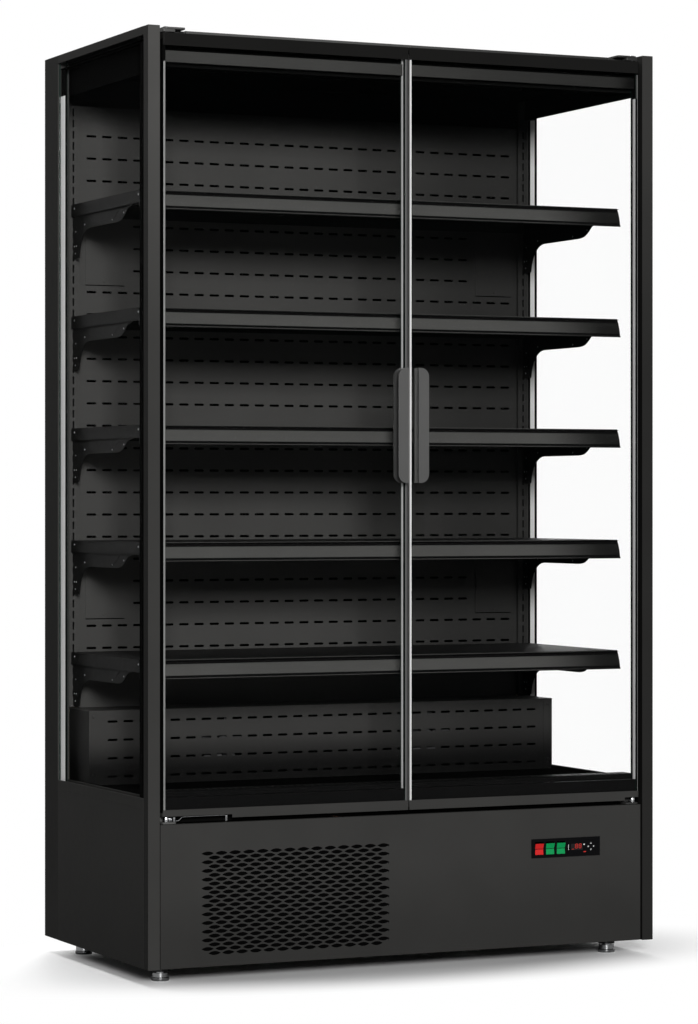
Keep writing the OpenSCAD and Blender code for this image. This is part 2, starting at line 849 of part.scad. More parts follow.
// Hinge plates with their pins above and below the doors, and the torsion rod under the left door
module door_hinges() color("#c3c5c8") {
    both_sides() {
        block(hinge_x + plate_over - plate_w, hinge_x + plate_over, door_y0 + door_rail_wall, plate_back,
              roof_z, roof_z + plate_t);
        rod_z(hinge_x, hinge_y, door_z1 - rail_roof + pin_end_gap, pin_r, rail_roof - pin_end_gap + roof_z - door_z1);
        block(hinge_x + plate_over - plate_w / 2, hinge_x + plate_over, door_y0 + door_rail_wall, floor_y0,
              floor_z0, floor_z0 + low_plate_t);
        block(hinge_x + plate_over - plate_w / 2, hinge_x + plate_over, floor_y0 - low_leg_t, floor_y0,
              floor_z0, floor_z0 + low_leg_h);
        rod_z(hinge_x, hinge_y, floor_z0 + low_plate_t, pin_r,
              door_z0 + rail_floor - pin_end_gap - floor_z0 - low_plate_t);
    }
    rod_start = plate_w / 2 - hinge_x - plate_over;
    rod_x(rod_start - clip_w, hinge_y, rod_z, rod_r, rod_l);
    block(rod_start - clip_w, rod_start, hinge_y - rod_r - sheet, floor_y0, floor_z0, clip_z + clip_h);
    block(rod_start - clip_w + rod_l, rod_start + rod_l, hinge_y - rod_r - sheet, floor_y0, clip_z, clip_z + clip_h);
}

// Plan of a door rail, rounded at its hinge end, where it turns between the post and the seals
module rail_plan() {
    translate([door_x0, fy(door_y0)]) square([door_x1 - door_x0 - door_round, door_t]);
    translate([door_x0, fy(door_y0 + door_round)]) square([door_x1 - door_x0, door_t - 2 * door_round]);
    for (y = [door_y0, door_y1 - 2 * door_round])
        translate([door_x1 - door_round, fy(y + door_round)]) circle(door_round, $fn = 48);
}

// Top and bottom rails of a door, bored for the hinge pins
module door_frame() {
    difference() {
        translate([0, 0, uz(door_z1 - door_top_h)]) linear_extrude(door_top_h) rail_plan();
        block(door_x0 - cut, door_x1 + cut, unit_y0, unit_y1, door_z1 - door_top_h - cut, door_z1 - rail_roof);
        rod_z(hinge_x, hinge_y, door_z1 - rail_roof - cut, pin_r + run_fit, rail_roof + 2 * cut);
    }
    difference() {
        translate([0, 0, uz(door_z0)]) linear_extrude(door_bottom_h) rail_plan();
        block(door_x0 - cut, door_x1 + cut, unit_y0, unit_y1, door_z0 + rail_floor, door_z0 + door_bottom_h + cut);
        rod_z(hinge_x, hinge_y, door_z0 - cut, pin_r + run_fit, rail_floor + 2 * cut);
    }
}

// Panes of a door, held between its edge profiles
module door_panes() {
    for (y = [unit_y0, unit_y1 - glass_t]) block(pane_x0, pane_x1, y, y + glass_t, unit_z0, unit_z1 - seam);
}

// Edge profiles of a door with the spacer bars between its panes
module door_spacer() {
    for (x = [door_x0, door_x1 - edge_w]) block(x, x + edge_w, unit_y0, unit_y1, unit_z0 + pin_end_gap,
                                                 unit_z1 - pin_end_gap);
    block(pane_x0, pane_x1, unit_y1 - glass_t - bar_t, unit_y1 - glass_t, top_bar_z, top_bar_z + top_bar_h);
    block(pane_x0, pane_x1, unit_y0 + glass_t, unit_y1 - glass_t, unit_z0 + seam,
          door_z0 + door_bottom_h + bottom_bar_h);
}

// Leaf of a handle with its outer corners rounded
module handle_leaf_2d() {
    translate([handle_x, handle_z]) intersection() {
        square([handle_w, handle_h]);
        union() {
            square([handle_w - handle_r, handle_h]);
            translate([0, handle_r]) square([handle_w, handle_h - 2 * handle_r]);
            for (z = [handle_r, handle_h - handle_r]) translate([handle_w - handle_r, z]) circle(handle_r, $fn = 64);
        }
    }
}

// U-section handle that opens away from the meeting edge
module door_handle() {
    upright_sheet(unit_y0 - handle_leaf, handle_leaf) handle_leaf_2d();
    upright_sheet(unit_y0 - handle_d, handle_leaf) handle_leaf_2d();
    block(handle_x, handle_x + handle_leaf, unit_y0 - handle_d, unit_y0, handle_z, handle_z + handle_h);
}

module door_right_frame() color("#2f3133") door_frame();
module door_right_glass() color("#b8d0d0", 0.35) door_panes();
module door_right_spacer() color("#dcdddd") door_spacer();
module door_right_handle() color("#c8c9c9") door_handle();
module door_left_frame() color("#2f3133") mirror([1, 0, 0]) door_frame();
module door_left_glass() color("#b8d0d0", 0.35) mirror([1, 0, 0]) door_panes();
module door_left_spacer() color("#dcdddd") mirror([1, 0, 0]) door_spacer();
module door_left_handle() color("#c8c9c9") mirror([1, 0, 0]) door_handle();

// Side view of a shelf bracket: tapered arm, curved throat, leg and two hooks
module bracket_profile(top) {
    back = rear_y0 - hook_gap;
    inner = shelf_back - shelf_skin;
    polygon([[bracket_front, top - shelf_flange], [bracket_front, top - shelf_skin], [inner, top - shelf_skin],
             [inner, top - shelf_flange], [back, top - shelf_flange], [back, top - arm_drop],
             [bracket_heel, top - arm_drop], [shelf_front + nose_run, top - nose_drop]]);
    difference() {
        translate([bracket_leg, top - leg_drop]) square([back - bracket_leg, leg_drop - arm_drop]);
        translate([bracket_leg, top - arm_drop - bracket_curve]) circle(bracket_curve, $fn = 64);
    }
    for (number = [0:hook_slots - 1]) {
        hook_z = top - hook_drop - number * 2 * slot_pitch;
        translate([back - cut, hook_z]) square([hook_gap + cut + upright_t + hook_gap + sheet, hook_h]);
        translate([rear_y0 + upright_t + hook_gap, hook_z - hook_nose]) square([sheet, hook_nose + hook_h]);
    }
}

// A shelf tray with its pair of hooked brackets
module shelf(number) color("#2b2d2e") {
    top = shelf_top(number);
    difference() {
        block(-shelf_half, shelf_half, shelf_front, shelf_back, top - shelf_flange, top);
        block(shelf_skin - shelf_half, shelf_half - shelf_skin, shelf_front + shelf_skin, shelf_back - shelf_skin,
              top - shelf_flange - cut, top - shelf_skin);
    }
    both_sides() side_profile(bracket_x - bracket_t / 2, bracket_x + bracket_t / 2) bracket_profile(top);
}

// Front line of a price rail, from its top edge down to its foot
function rail_point(share, top) = let (rest = 1 - share) [
    rest * rest * (shelf_front - rail_t) + 2 * rest * share * rail_knee_y + share * share * rail_foot_y,
    top - 2 * rest * share * knee_drop - share * share * rail_h
];

// Sloping price rail with two webs that grip the shelf's front flange
module price_rail(number) color("#7d8083") {
    top = shelf_top(number);
    side_profile(-rail_half, rail_half) {
        polygon(concat([for (step = [0:rail_steps]) rail_point(step / rail_steps, top)],
                       [for (step = [rail_steps:-1:0]) rail_point(step / rail_steps, top) + [rail_t, 0]]));
        for (drop = [rail_t, web_drop])
            translate([rail_knee_y, top - drop - web_t]) square([shelf_front - touch - rail_knee_y, web_t]);
        translate([shelf_front - touch - web_t, top - web_drop - web_t]) square([web_t, web_drop + web_t - rail_t]);
    }
}

module shelf_1() shelf(1);
module shelf_2() shelf(2);
module shelf_3() shelf(3);
module shelf_4() shelf(4);
module shelf_5() shelf(5);
module price_rail_1() price_rail(1);
module price_rail_2() price_rail(2);
module price_rail_3() price_rail(3);
module price_rail_4() price_rail(4);
module price_rail_5() price_rail(5);

// Grille hole, pointed at both ends
module lens_2d() {
    radius = (lens_l * lens_l + lens_h * lens_h) / lens_h / 4;
    intersection() {
        translate([0, lens_h / 2 - radius]) circle(radius, $fn = 64);
        translate([0, radius - lens_h / 2]) circle(radius, $fn = 64);
    }
}

// Lower front panel with its grille and the opening for the controls
module front_panel() color("#37393b") {
    upright_sheet(panel_setback, sheet) difference() {
        translate([-panel_half, seam]) square([2 * panel_half, panel_h - seam]);
        for (row = [0:lens_rows - 1], column = [0:lens_columns - 1 - row % 2])
            translate([lens_x0 + (column + row % 2 / 2) * lens_pitch_x, lens_top_z - row * lens_pitch_z]) lens_2d();
        translate([bezel_x0 + cutout_edge, bezel_z0 + cutout_edge])
            square([bezel_w - 2 * cutout_edge, bezel_h - 2 * cutout_edge]);
    }
    flange_y0 = panel_setback + sheet;
    block(-panel_half, panel_half, flange_y0, flange_y0 + panel_flange, panel_h - sheet, panel_h);
    block(-panel_half, panel_half, flange_y0, base_y0, seam, seam + sheet);
    both_sides() block(panel_half - sheet, panel_half, flange_y0, base_y0, seam + sheet, panel_h - sheet);
}

function rocker_centre(number) = rocker_x0 + number * rocker_pitch;

// Bezel around the controls, with the housings of the three rockers behind it
module control_bezel() color("#101112") {
    bezel_y = panel_setback - bezel_t;
    difference() {
        union() {
            block(bezel_x0, bezel_x0 + bezel_w, bezel_y, panel_setback, bezel_z0, bezel_z0 + bezel_h);
            block(bezel_x0 + cutout_edge + touch, thermo_x0 - touch, panel_setback, panel_setback + switch_body_d,
                  bezel_z0 + cutout_edge + touch, bezel_z0 + bezel_h - cutout_edge - touch);
        }
        for (number = [0:2]) {
            x = rocker_centre(number);
            block(x - rocker_w / 2 - rocker_gap, x + rocker_w / 2 + rocker_gap, bezel_y - cut,
                  panel_setback + switch_body_d - rail_t, bezel_mid_z - rocker_h / 2, bezel_mid_z + rocker_h / 2);
            rod_x(x - rocker_w / 2 - rocker_pin_l - rocker_gap, rocker_y, bezel_mid_z, rocker_pin_r + run_fit,
                  rocker_w + 2 * rocker_pin_l + 2 * rocker_gap);
        }
        block(thermo_x0 - touch, thermo_x0 + thermo_w + touch, bezel_y - cut, panel_setback + cut,
              bezel_mid_z - thermo_h / 2 - touch, bezel_mid_z + thermo_h / 2 + touch);
    }
}

// Rocker drawn tipped towards its lower half, with a pin at each end
module rocker(number) {
    x = rocker_centre(number);
    translate([x - rocker_w / 2, fy(rocker_y), uz(bezel_mid_z)]) rotate([90, 0, 90]) rotate(rocker_tilt)
        linear_extrude(rocker_w) polygon([
            [-rocker_face, rocker_half_h], [rocker_dip - rocker_face, 0], [-rocker_face, -rocker_half_h],
            [0, -rocker_neck], [rocker_tail, 0], [0, rocker_neck]]);
    rod_x(x - rocker_w / 2 - rocker_pin_l, rocker_y, bezel_mid_z, rocker_pin_r, rocker_w + 2 * rocker_pin_l);
}

module main_rocker() color("#d8262c") rocker(0);
module lamp_rocker() color("#16b25a") rocker(1);
module fan_rocker() color("#16b25a") rocker(2);

function key_place(name) = [key_x, key_z] + key_spread * (
    name == "left" ? [-1, 0] : name == "right" ? [1, 0] : name == "up" ? [0, 1] : [0, -1]);

// Thermostat housing with a display window and four key wells
module thermostat() color("#161718") {
    face_y = panel_setback - bezel_t - thermo_proud;
    difference() {
        block(thermo_x0, thermo_x0 + thermo_w, face_y, panel_setback + thermo_d,
              bezel_mid_z - thermo_h / 2, bezel_mid_z + thermo_h / 2);
        block(thermo_x0 + window_in, thermo_x0 + window_in + window_w, face_y - cut, face_y + window_d,
              bezel_mid_z - window_h / 2, bezel_mid_z + window_h / 2);
        for (name = ["left", "right", "up", "down"])
            rod_y(key_place(name)[0], face_y - cut, key_place(name)[1], key_r + run_fit,
                  cut + key_l - key_proud + key_travel + seam);
    }
}

module key(name) {
    rod_y(key_place(name)[0], panel_setback - bezel_t - thermo_proud - key_proud, key_place(name)[1], key_r, key_l);
}

module key_left() color("#e9e9e9") key("left");
module key_right() color("#e9e9e9") key("right");
module key_up() color("#e9e9e9") key("up");
module key_down() color("#e9e9e9") key("down");

// Hermetic compressor on its foot plate and four grommets
module compressor() color("#1b1c1e") translate([comp_c[0], fy(comp_c[1]), uz(bay_z)]) {
    body_z = comp_grommet_h + comp_plate_t;
    translate([0, 0, comp_grommet_h]) linear_extrude(comp_plate_t) square(comp_plate, center = true);
    for (x = [-1, 1], y = [-1, 1]) translate([x, y] * (comp_plate / 2 - comp_grommet_r))
        cylinder(r = comp_grommet_r, h = comp_grommet_h, $fn = 32);
    translate([0, 0, body_z]) rotate_extrude($fn = 64) {
        square([comp_r, comp_h - comp_dome]);
        square([comp_r - comp_dome, comp_h]);
        translate([comp_r - comp_dome, comp_h - comp_dome]) intersection() {
            circle(comp_dome, $fn = 48);
            square(comp_dome);
        }
    }
    translate([comp_r - comp_box[0] / 2, -comp_box[1] / 2, body_z + comp_box[2] / 2]) cube(comp_box);
}

// Plan of a finned coil block, grooved from its front and its back down to a core
module fin_plan(x0, x1, y0, y1, pitch, groove_w, core) {
    count = floor((x1 - x0 - pitch) / pitch);
    groove_depth = (y1 - y0 - core) / 2;
    difference() {
        translate([x0, fy(y0)]) square([x1 - x0, y1 - y0]);
        for (number = [0:count - 1], face = [y0, y1 - groove_depth])
            translate([(x0 + x1) / 2 + (number - (count - 1) / 2) * pitch - groove_w / 2, fy(face) - cut])
                square([groove_w, groove_depth + cut + (face == y0 ? 0 : cut)]);
    }
}

// Condenser coil with its return bends and the fan shroud behind it
module condenser() color("#7f8386") {
    translate([0, 0, uz(cond_z[0])]) linear_extrude(cond_z[1] - cond_z[0])
        fin_plan(cond_x[0], cond_x[1], cond_y[0], cond_y[1], cond_fin_pitch, cond_groove_w, cond_core);
    for (x = cond_x) block(x - (x == cond_x[0] ? cond_side_t : 0), x + (x == cond_x[0] ? 0 : cond_side_t),
                           cond_y[0], cond_y[1], bay_z, cond_z[1]);
    bend_pitch = (cond_z[1] - cond_z[0]) / cond_bends;
    for (number = [0:cond_bends - 1])
        translate([cond_x[1] + cond_side_t, fy((cond_y[0] + cond_y[1]) / 2),
                   uz(cond_z[0] + (number + 1 / 2) * bend_pitch)])
            rotate([90, 0, 0]) rotate([0, 0, -90]) rotate_extrude(angle = 180, $fn = 48)
                translate([bend_pitch / 4, 0]) circle(cond_tube_r, $fn = 24);
    difference() {
        block(cond_x[0] - cond_side_t, cond_x[1] + cond_side_t, cond_y[1] - seam, cond_y[1] + shroud_t,
              bay_z, cond_z[1]);
        rod_y(fan_c[0], cond_y[1] - seam - cut, fan_c[1], fan_r + fan_ring_gap, shroud_t + seam + 2 * cut);
    }
}

// Fan with a hub and tilted blades, its shaft bore along the depth
module fan(x, z, y0, thickness, radius, hub_r, shaft_r) {
    translate([x, fy(y0), uz(z)]) rotate([-90, 0, 0]) difference() {
        union() {
            cylinder(r = hub_r, h = thickness, $fn = 48);
            for (blade = [0:fan_blades - 1]) rotate(blade * 360 / fan_blades)
                intersection() {
                    translate([0, 0, thickness / 2]) rotate([fan_blade_angle, 0, 0])
                        translate([hub_r - fan_blade_t, -radius * fan_blade_share / 2, -fan_blade_t / 2])
                            cube([radius - hub_r + fan_blade_t, radius * fan_blade_share, fan_blade_t]);
                    cylinder(r = radius, h = thickness, $fn = 64);
                }
        }
        translate([0, 0, fan_hub_skin]) cylinder(r = shaft_r, h = thickness, $fn = 48);
    }
}

module condenser_fan() color("#202224")
    fan(fan_c[0], fan_c[1], fan_y0, fan_t, fan_r, fan_hub_r, motor_shaft_r + run_fit);
module evaporator_fan_left() color("#26282a")
    fan(-efan_x, efan_z, efan_y0, efan_t, efan_r, efan_hub_r, motor_shaft_r + run_fit);
module evaporator_fan_right() color("#26282a")
    fan(efan_x, efan_z, efan_y0, efan_t, efan_r, efan_hub_r, motor_shaft_r + run_fit);

// The condenser fan's motor on its stand, and the two evaporator fan motors on theirs
module fan_motors() color("#54575a") {
    motor_y = fan_y0 + fan_t + seam;
    rod_y(fan_c[0], motor_y, fan_c[1], motor_r, motor_l);
    rod_y(fan_c[0], fan_y0 + fan_hub_skin + seam, fan_c[1], motor_shaft_r, motor_y - fan_y0);
    block(fan_c[0] - motor_stand_w / 2, fan_c[0] + motor_stand_w / 2, motor_y + motor_stand_in,
          motor_y + motor_stand_in + motor_stand_t, bay_z, fan_c[1]);
    for (side = [-1, 1]) {
        emotor_y = efan_y0 + efan_t + seam;
        rod_y(side * efan_x, emotor_y, efan_z, emotor_r, emotor_l);
        rod_y(side * efan_x, efan_y0 + fan_hub_skin + seam, efan_z, motor_shaft_r, emotor_y - efan_y0);
        block(side * efan_x - emotor_r / 2, side * efan_x + emotor_r / 2, emotor_y + emotor_stand_t,
              emotor_y + 2 * emotor_stand_t, floor_top, efan_z);
    }
}

// Evaporator coil on the insulated floor, behind the lower duct
module evaporator() color("#a7abad") {
    translate([0, 0, uz(evap_z[0])]) linear_extrude(evap_z[1] - evap_z[0])
        fin_plan(-evap_x, evap_x, evap_y[0], evap_y[1], evap_fin_pitch, evap_groove_w, evap_core);
}

// Open tray under the drain, where defrost water evaporates
module drip_tray() color("#3c3e40") difference() {
    block(tray_x[0], tray_x[1], tray_y[0], tray_y[1], bay_z, bay_z + tray_h);
    block(tray_x[0] + tray_wall, tray_x[1] - tray_wall, tray_y[0] + tray_wall, tray_y[1] - tray_wall,
          bay_z + tray_wall, bay_z + tray_h + cut);
}

// A pipe along square-cornered points given in width, depth and height
module pipe(points, radius) {
    for (number = [1:len(points) - 1]) {
        start = points[number - 1];
        step = points[number] - start;
        translate([start[0], fy(start[1]), uz(start[2])])
            rotate(step[0] != 0 ? [0, 90 * sign(step[0]), 0] : step[1] != 0 ? [-90 * sign(step[1]), 0, 0]
                   : [step[2] > 0 ? 0 : 180, 0, 0])
                cylinder(r = radius, h = norm(step), $fn = 32);
        if (number > 1) translate([start[0], fy(start[1]), uz(start[2])]) sphere(r = radius, $fn = 32);
    }
}

// Suction pipe, discharge pipe, and the liquid line with its drier
module refrigerant_pipes() color("#b06a45") {
    cond_side = cond_x[1] + cond_side_t;
    cond_mid = (cond_y[0] + cond_y[1]) / 2;
    pipe([[comp_c[0] - comp_r, comp_c[1], pipe_z], [pipe_turn_x, comp_c[1], pipe_z], [pipe_turn_x, pipe_y, pipe_z],
          [pipe_x, pipe_y, pipe_z], [pipe_x, pipe_y, pipe_end_z], [-evap_x, pipe_y, pipe_end_z]], pipe_r);
    pipe([[comp_c[0], comp_c[1] - comp_r, discharge_z], [comp_c[0], cond_mid, discharge_z],
          [cond_side, cond_mid, discharge_z]], pipe_r);
    pipe([[cond_side, cond_mid, liquid_z], [thin_turn_x, cond_mid, liquid_z], [thin_turn_x, drier_y, liquid_z],
          [thin_turn_x, drier_y, under_floor_z], [thin_turn_x, thin_pipe_y, under_floor_z],
          [thin_pipe_x, thin_pipe_y, under_floor_z], [thin_pipe_x, thin_pipe_y, pipe_end_z],
          [-evap_x, thin_pipe_y, pipe_end_z]], thin_pipe_r);
    rod_z(thin_turn_x, drier_y, drier_z, drier_r, drier_l);
}

// Electrical box behind the controls, and the gland for the mains lead in the rear cover
module electrical_box() color("#2a2c2e") {
    block(box_x[0], box_x[1], box_y[0], box_y[1], box_z[0], box_z[1]);
    for (x = [box_x[0], box_x[1] - box_foot_w])
        block(x, x + box_foot_w, box_y[0], box_y[0] + box_foot_w, bay_z, box_z[0]);
    difference() {
        union() {
            rod_y(gland_x, back_skin_y + sheet + gland_flange_t - gland_l, gland_z, gland_r, gland_l);
            rod_y(gland_x, back_skin_y + sheet, gland_z, gland_flange_r, gland_flange_t - touch);
        }
        rod_y(gland_x, back_skin_y + sheet - gland_l, gland_z, gland_bore_r, 2 * gland_l);
    }
}

base_frame();
levelling_feet();
front_posts();
rear_posts();
side_rails();
side_panels();
side_glass_left();
side_glass_right();
side_glass_spacers();
canopy();
air_outlet_grid();
lamp();
rear_panels();
insulation();
slotted_wall();
shelf_uprights();
lower_duct();
deck_tray();
return_air_sill();
floor_box();
door_seals();
door_hinges();
door_left_frame();
door_left_glass();
door_left_spacer();
door_left_handle();
door_right_frame();
door_right_glass();
door_right_spacer();
door_right_handle();
shelf_1();
shelf_2();
shelf_3();
shelf_4();
shelf_5();
price_rail_1();
price_rail_2();
price_rail_3();
price_rail_4();
price_rail_5();
front_panel();
control_bezel();
main_rocker();
lamp_rocker();
fan_rocker();
thermostat();
key_left();
key_right();
key_up();
key_down();
compressor();
condenser();
fan_motors();
condenser_fan();
evaporator();
evaporator_fan_left();
evaporator_fan_right();
drip_tray();
refrigerant_pipes();
electrical_box();
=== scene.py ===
import bpy
import bmesh
import json
import math
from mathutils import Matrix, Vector
from mathutils.geometry import tessellate_polygon


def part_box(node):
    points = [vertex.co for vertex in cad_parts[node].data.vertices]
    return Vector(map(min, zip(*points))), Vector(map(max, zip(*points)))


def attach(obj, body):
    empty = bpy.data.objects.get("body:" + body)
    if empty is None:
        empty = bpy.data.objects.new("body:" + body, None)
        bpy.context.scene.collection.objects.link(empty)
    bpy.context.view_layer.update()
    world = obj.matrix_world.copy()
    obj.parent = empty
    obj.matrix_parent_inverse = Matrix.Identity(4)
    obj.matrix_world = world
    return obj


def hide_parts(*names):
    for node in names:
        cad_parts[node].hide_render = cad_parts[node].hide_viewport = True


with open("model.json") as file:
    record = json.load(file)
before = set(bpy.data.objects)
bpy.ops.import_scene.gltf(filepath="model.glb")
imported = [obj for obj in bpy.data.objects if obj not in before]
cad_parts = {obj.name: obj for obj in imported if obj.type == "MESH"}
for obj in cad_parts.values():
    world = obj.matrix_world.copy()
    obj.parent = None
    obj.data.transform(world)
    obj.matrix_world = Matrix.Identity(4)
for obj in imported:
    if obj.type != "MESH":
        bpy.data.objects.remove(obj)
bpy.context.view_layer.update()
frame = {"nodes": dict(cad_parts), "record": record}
nodes = frame["nodes"]

# Depths run backwards from the posts' front faces, heights up from the body's underside, in millimetres.
post_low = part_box("front_posts")[0]
MM = 0.001
SIDES = ((-1, "left"), (1, "right"))


def place(x, depth, height):
    return Vector((x * MM, post_low.y + depth * MM, post_low.z + height * MM))


# Camera at the photograph's angle

YAW = math.radians(24.86)
PICTURE_HEIGHT, FOCAL, HORIZON = 1024, 3378.8, 500.1  # pixels
SENSOR = 36
camera = bpy.data.objects.new("camera", bpy.data.cameras.new("camera"))
bpy.context.scene.collection.objects.link(camera)
camera.location = place(-3158.6, -6510.2, 973.4)
camera.rotation_euler = (math.radians(90), 0, -YAW)
camera.data.sensor_width = SENSOR
camera.data.lens = SENSOR * FOCAL / PICTURE_HEIGHT
camera.data.shift_y = HORIZON / PICTURE_HEIGHT - 0.5
camera.data.clip_end = 200
bpy.context.scene.camera = camera


# Shader maths

class Wire:
    """A socket's value; arithmetic on it adds Math nodes."""

    def __init__(self, holder, socket):
        self.holder, self.socket = holder, socket

    def maths(self, operation, *values):
        return self.holder.node("ShaderNodeMath", {"operation": operation}, dict(enumerate(values)))

    def __add__(self, other):
        return self.maths("ADD", self, other)

    def __radd__(self, other):
        return self.maths("ADD", other, self)

    def __sub__(self, other):
        return self.maths("SUBTRACT", self, other)

    def __rsub__(self, other):
        return self.maths("SUBTRACT", other, self)

    def __mul__(self, other):
        return self.maths("MULTIPLY", self, other)

    def __rmul__(self, other):
        return self.maths("MULTIPLY", other, self)

    def above(self, limit):
        return self.maths("GREATER_THAN", self, limit)

    def below(self, limit):
        return self.maths("LESS_THAN", self, limit)

    def most(self, other):
        return self.maths("MAXIMUM", self, other)

    def size(self):
        return self.maths("ABSOLUTE", self)


class Shading:
    """The nodes of a material or of the world."""

    def __init__(self, owner):
        owner.use_nodes = True
        self.tree = owner.node_tree
        self.tree.nodes.clear()

    def feed(self, socket, value):
        if isinstance(value, Wire):
            self.tree.links.new(value.socket, socket)
        else:
            socket.default_value = value

    def add(self, kind, settings=None, inputs=None):
        """A node with its settings, then with the values or links of its inputs."""
        made = self.tree.nodes.new(kind)
        for key, value in (settings or {}).items():
            setattr(made, key, value)
        for key, value in (inputs or {}).items():
            self.feed(made.inputs[key], value)
        return made

    def node(self, kind, settings=None, inputs=None, output=0):
        """The same, for what comes out of it."""
        return Wire(self, self.add(kind, settings, inputs).outputs[output])

    def ray(self, *kinds):
        """One for rays of these kinds, otherwise nought."""
        found, *others = (self.node("ShaderNodeLightPath", output=kind) for kind in kinds)
        for other in others:
            found = found.most(other)
        return found


class Finish(Shading):
    """A material under construction, with its main shader."""

    def __init__(self, name, tone, rough, metal=0.0, **fixed):
        self.material = bpy.data.materials.new(name)
        super().__init__(self.material)
        self.out = self.add("ShaderNodeOutputMaterial")
        self.shader = self.add("ShaderNodeBsdfPrincipled", None,
                               {"Base Color": (*tone, 1), "Roughness": rough, "Metallic": metal})
        self.feed(self.out.inputs["Surface"], Wire(self, self.shader.outputs[0]))
        for key, value in fixed.items():
            self.set(key.replace("_", " "), value)

    def coordinates(self, scale=(1, 1, 1)):
        where = self.node("ShaderNodeTexCoord", output="Object")
        return self.node("ShaderNodeMapping", None, {"Vector": where, "Scale": scale})

    def axis(self, number):
        where = self.node("ShaderNodeTexCoord", output="Object")
        return self.node("ShaderNodeSeparateXYZ", None, {"Vector": where}, output=number)

    def facing(self, number):
        """How squarely the surface looks along an axis of its own piece, either way."""
        normal = self.node("ShaderNodeTexCoord", output="Normal")
        return self.node("ShaderNodeSeparateXYZ", None, {"Vector": normal}, output=number).size()

    def noise(self, scale, detail=2.0, stretch=(1, 1, 1)):
        return self.node("ShaderNodeTexNoise", None,
                         {"Vector": self.coordinates(stretch), "Scale": scale, "Detail": detail})

    def ramp(self, value, start, end):
        """A smooth rise from nought at start to one at end."""
        return self.node("ShaderNodeMapRange", {"interpolation_type": "SMOOTHSTEP"},
                         {"Value": value, "From Min": start, "From Max": end})

    def scaled(self, colour, factor, share):
        """The colour, going over to factor times itself as share goes from nought to one."""
        return self.node("ShaderNodeVectorMath", {"operation": "SCALE"},
                         {"Vector": colour, "Scale": 1 + (factor - 1) * share})

    def blend(self, share, first, second):
        """The first colour, going over to the second as share goes from nought to one."""
        first, second = (tone if isinstance(tone, Wire) else (*tone, 1) for tone in (first, second))
        return self.node("ShaderNodeMix", {"data_type": "RGBA"}, {0: share, 6: first, 7: second}, output=2)

    def bump(self, height, strength, distance=MM):
        normal = self.node("ShaderNodeBump", None,
                           {"Height": height, "Strength": strength, "Distance": distance})
        self.set("Normal", normal)

    def set(self, socket, value):
        self.feed(self.shader.inputs[socket], value)


def shaded(tone, factor):
    return tuple(min(1.0, part * factor) for part in tone)


def powder_coat(name, tone, rough=0.5, grain=0.25, specular=0.02, turns=(), sides=1.0):
    """Stove-enamelled powder on sheet steel: fine orange peel, faint mottling.
    turns lists (axis, start, end, factor): from start to end along the axis, in metres, the tone goes over to
    factor times itself, which most uses below take for painted light and shade. sides is the factor for faces
    that look left or right, a painted shade on the side faces."""
    paint = Finish(name, tone, rough, Specular_IOR_Level=specular)
    cloud = paint.noise(7, 3.0)
    colour = paint.blend(cloud, shaded(tone, 0.88), shaded(tone, 1.12))
    # turns: tone graded along an axis, mostly painted light and shade
    for axis, start, end, factor in turns:
        colour = paint.scaled(colour, factor, paint.ramp(paint.axis(axis), start, end))
    # sides: painted shade on faces that look left or right
    if sides != 1.0:
        colour = paint.scaled(colour, sides, paint.facing(0).above(0.7))
    paint.set("Base Color", colour)
    paint.set("Roughness", rough - 0.06 + 0.12 * paint.noise(60, 2.0))
    paint.bump(paint.noise(1500, 1.0), grain, 0.1 * MM)
    return paint.material


def moulded(name, tone, rough, grain=0.15, specular=0.4, scale=2500, **fixed):
    """Moulded plastic or rubber with a fine spark texture."""
    plastic = Finish(name, tone, rough, Specular_IOR_Level=specular, **fixed)
    plastic.set("Base Color", plastic.blend(plastic.noise(25, 2.0), shaded(tone, 0.9), shaded(tone, 1.1)))
    plastic.set("Roughness", rough - 0.04 + 0.08 * plastic.noise(180, 2.0))
    plastic.bump(plastic.noise(scale, 1.0), grain, 0.08 * MM)
    return plastic.material


def switch_plastic(name, tone, node):
    """Glossy moulding of a rocker switch, with a dark joint between its two halves."""
    low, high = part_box(node)
    plastic = Finish(name, tone, 0.25, Specular_IOR_Level=0.25)
    joint = (plastic.axis(2) - (low.z + high.z) / 2).size().below(0.7 * MM)
    mottled = plastic.blend(plastic.noise(300, 2.0), shaded(tone, 0.9), shaded(tone, 1.1))
    plastic.set("Base Color", plastic.blend(joint, mottled, shaded(tone, 0.08)))
    plastic.bump(plastic.noise(2500, 1.0), 0.05, 0.08 * MM)
    return plastic.material


def worked_metal(name, tone, rough, stretch, grain=0.2, spread=0.12, metal=1.0):
    """Bare metal with the lines of its rolling, drawing or brushing."""
    bare = Finish(name, tone, rough, metal)
    lines = bare.noise(1.0, 3.0, stretch)
    bare.set("Base Color", bare.blend(bare.noise(12, 2.0), shaded(tone, 0.92), shaded(tone, 1.06)))
    bare.set("Roughness", rough - spread / 2 + spread * lines)
    bare.bump(lines, grain, 0.05 * MM)
    return bare.material


def clear_glass(name, across):
    """Float glass: clear faces and green edges. across is the axis that runs through the pane."""
    clear, green = (0.01, 0.014, 0.013), (0.012, 0.03, 0.024)
    glass = Finish(name, clear, 0.02, Specular_IOR_Level=0.5)
    edge = glass.facing(across).below(0.5)
    glass.set("Base Color", glass.blend(edge, clear, green))
    glass.set("Alpha", 0.003 + 0.003 * glass.noise(3, 2.0) + edge * 0.5)
    glass.material.surface_render_method = "BLENDED"
    return glass.material


def lit_sign(name, tone, strength):
    """Red segments that glow behind a smoked window."""
    sign = Finish(name, shaded(tone, 0.3), 0.3, Emission_Strength=strength)
    sign.set("Emission Color", sign.blend(sign.noise(300, 1.0), shaded(tone, 0.85), tone))
    return sign.material


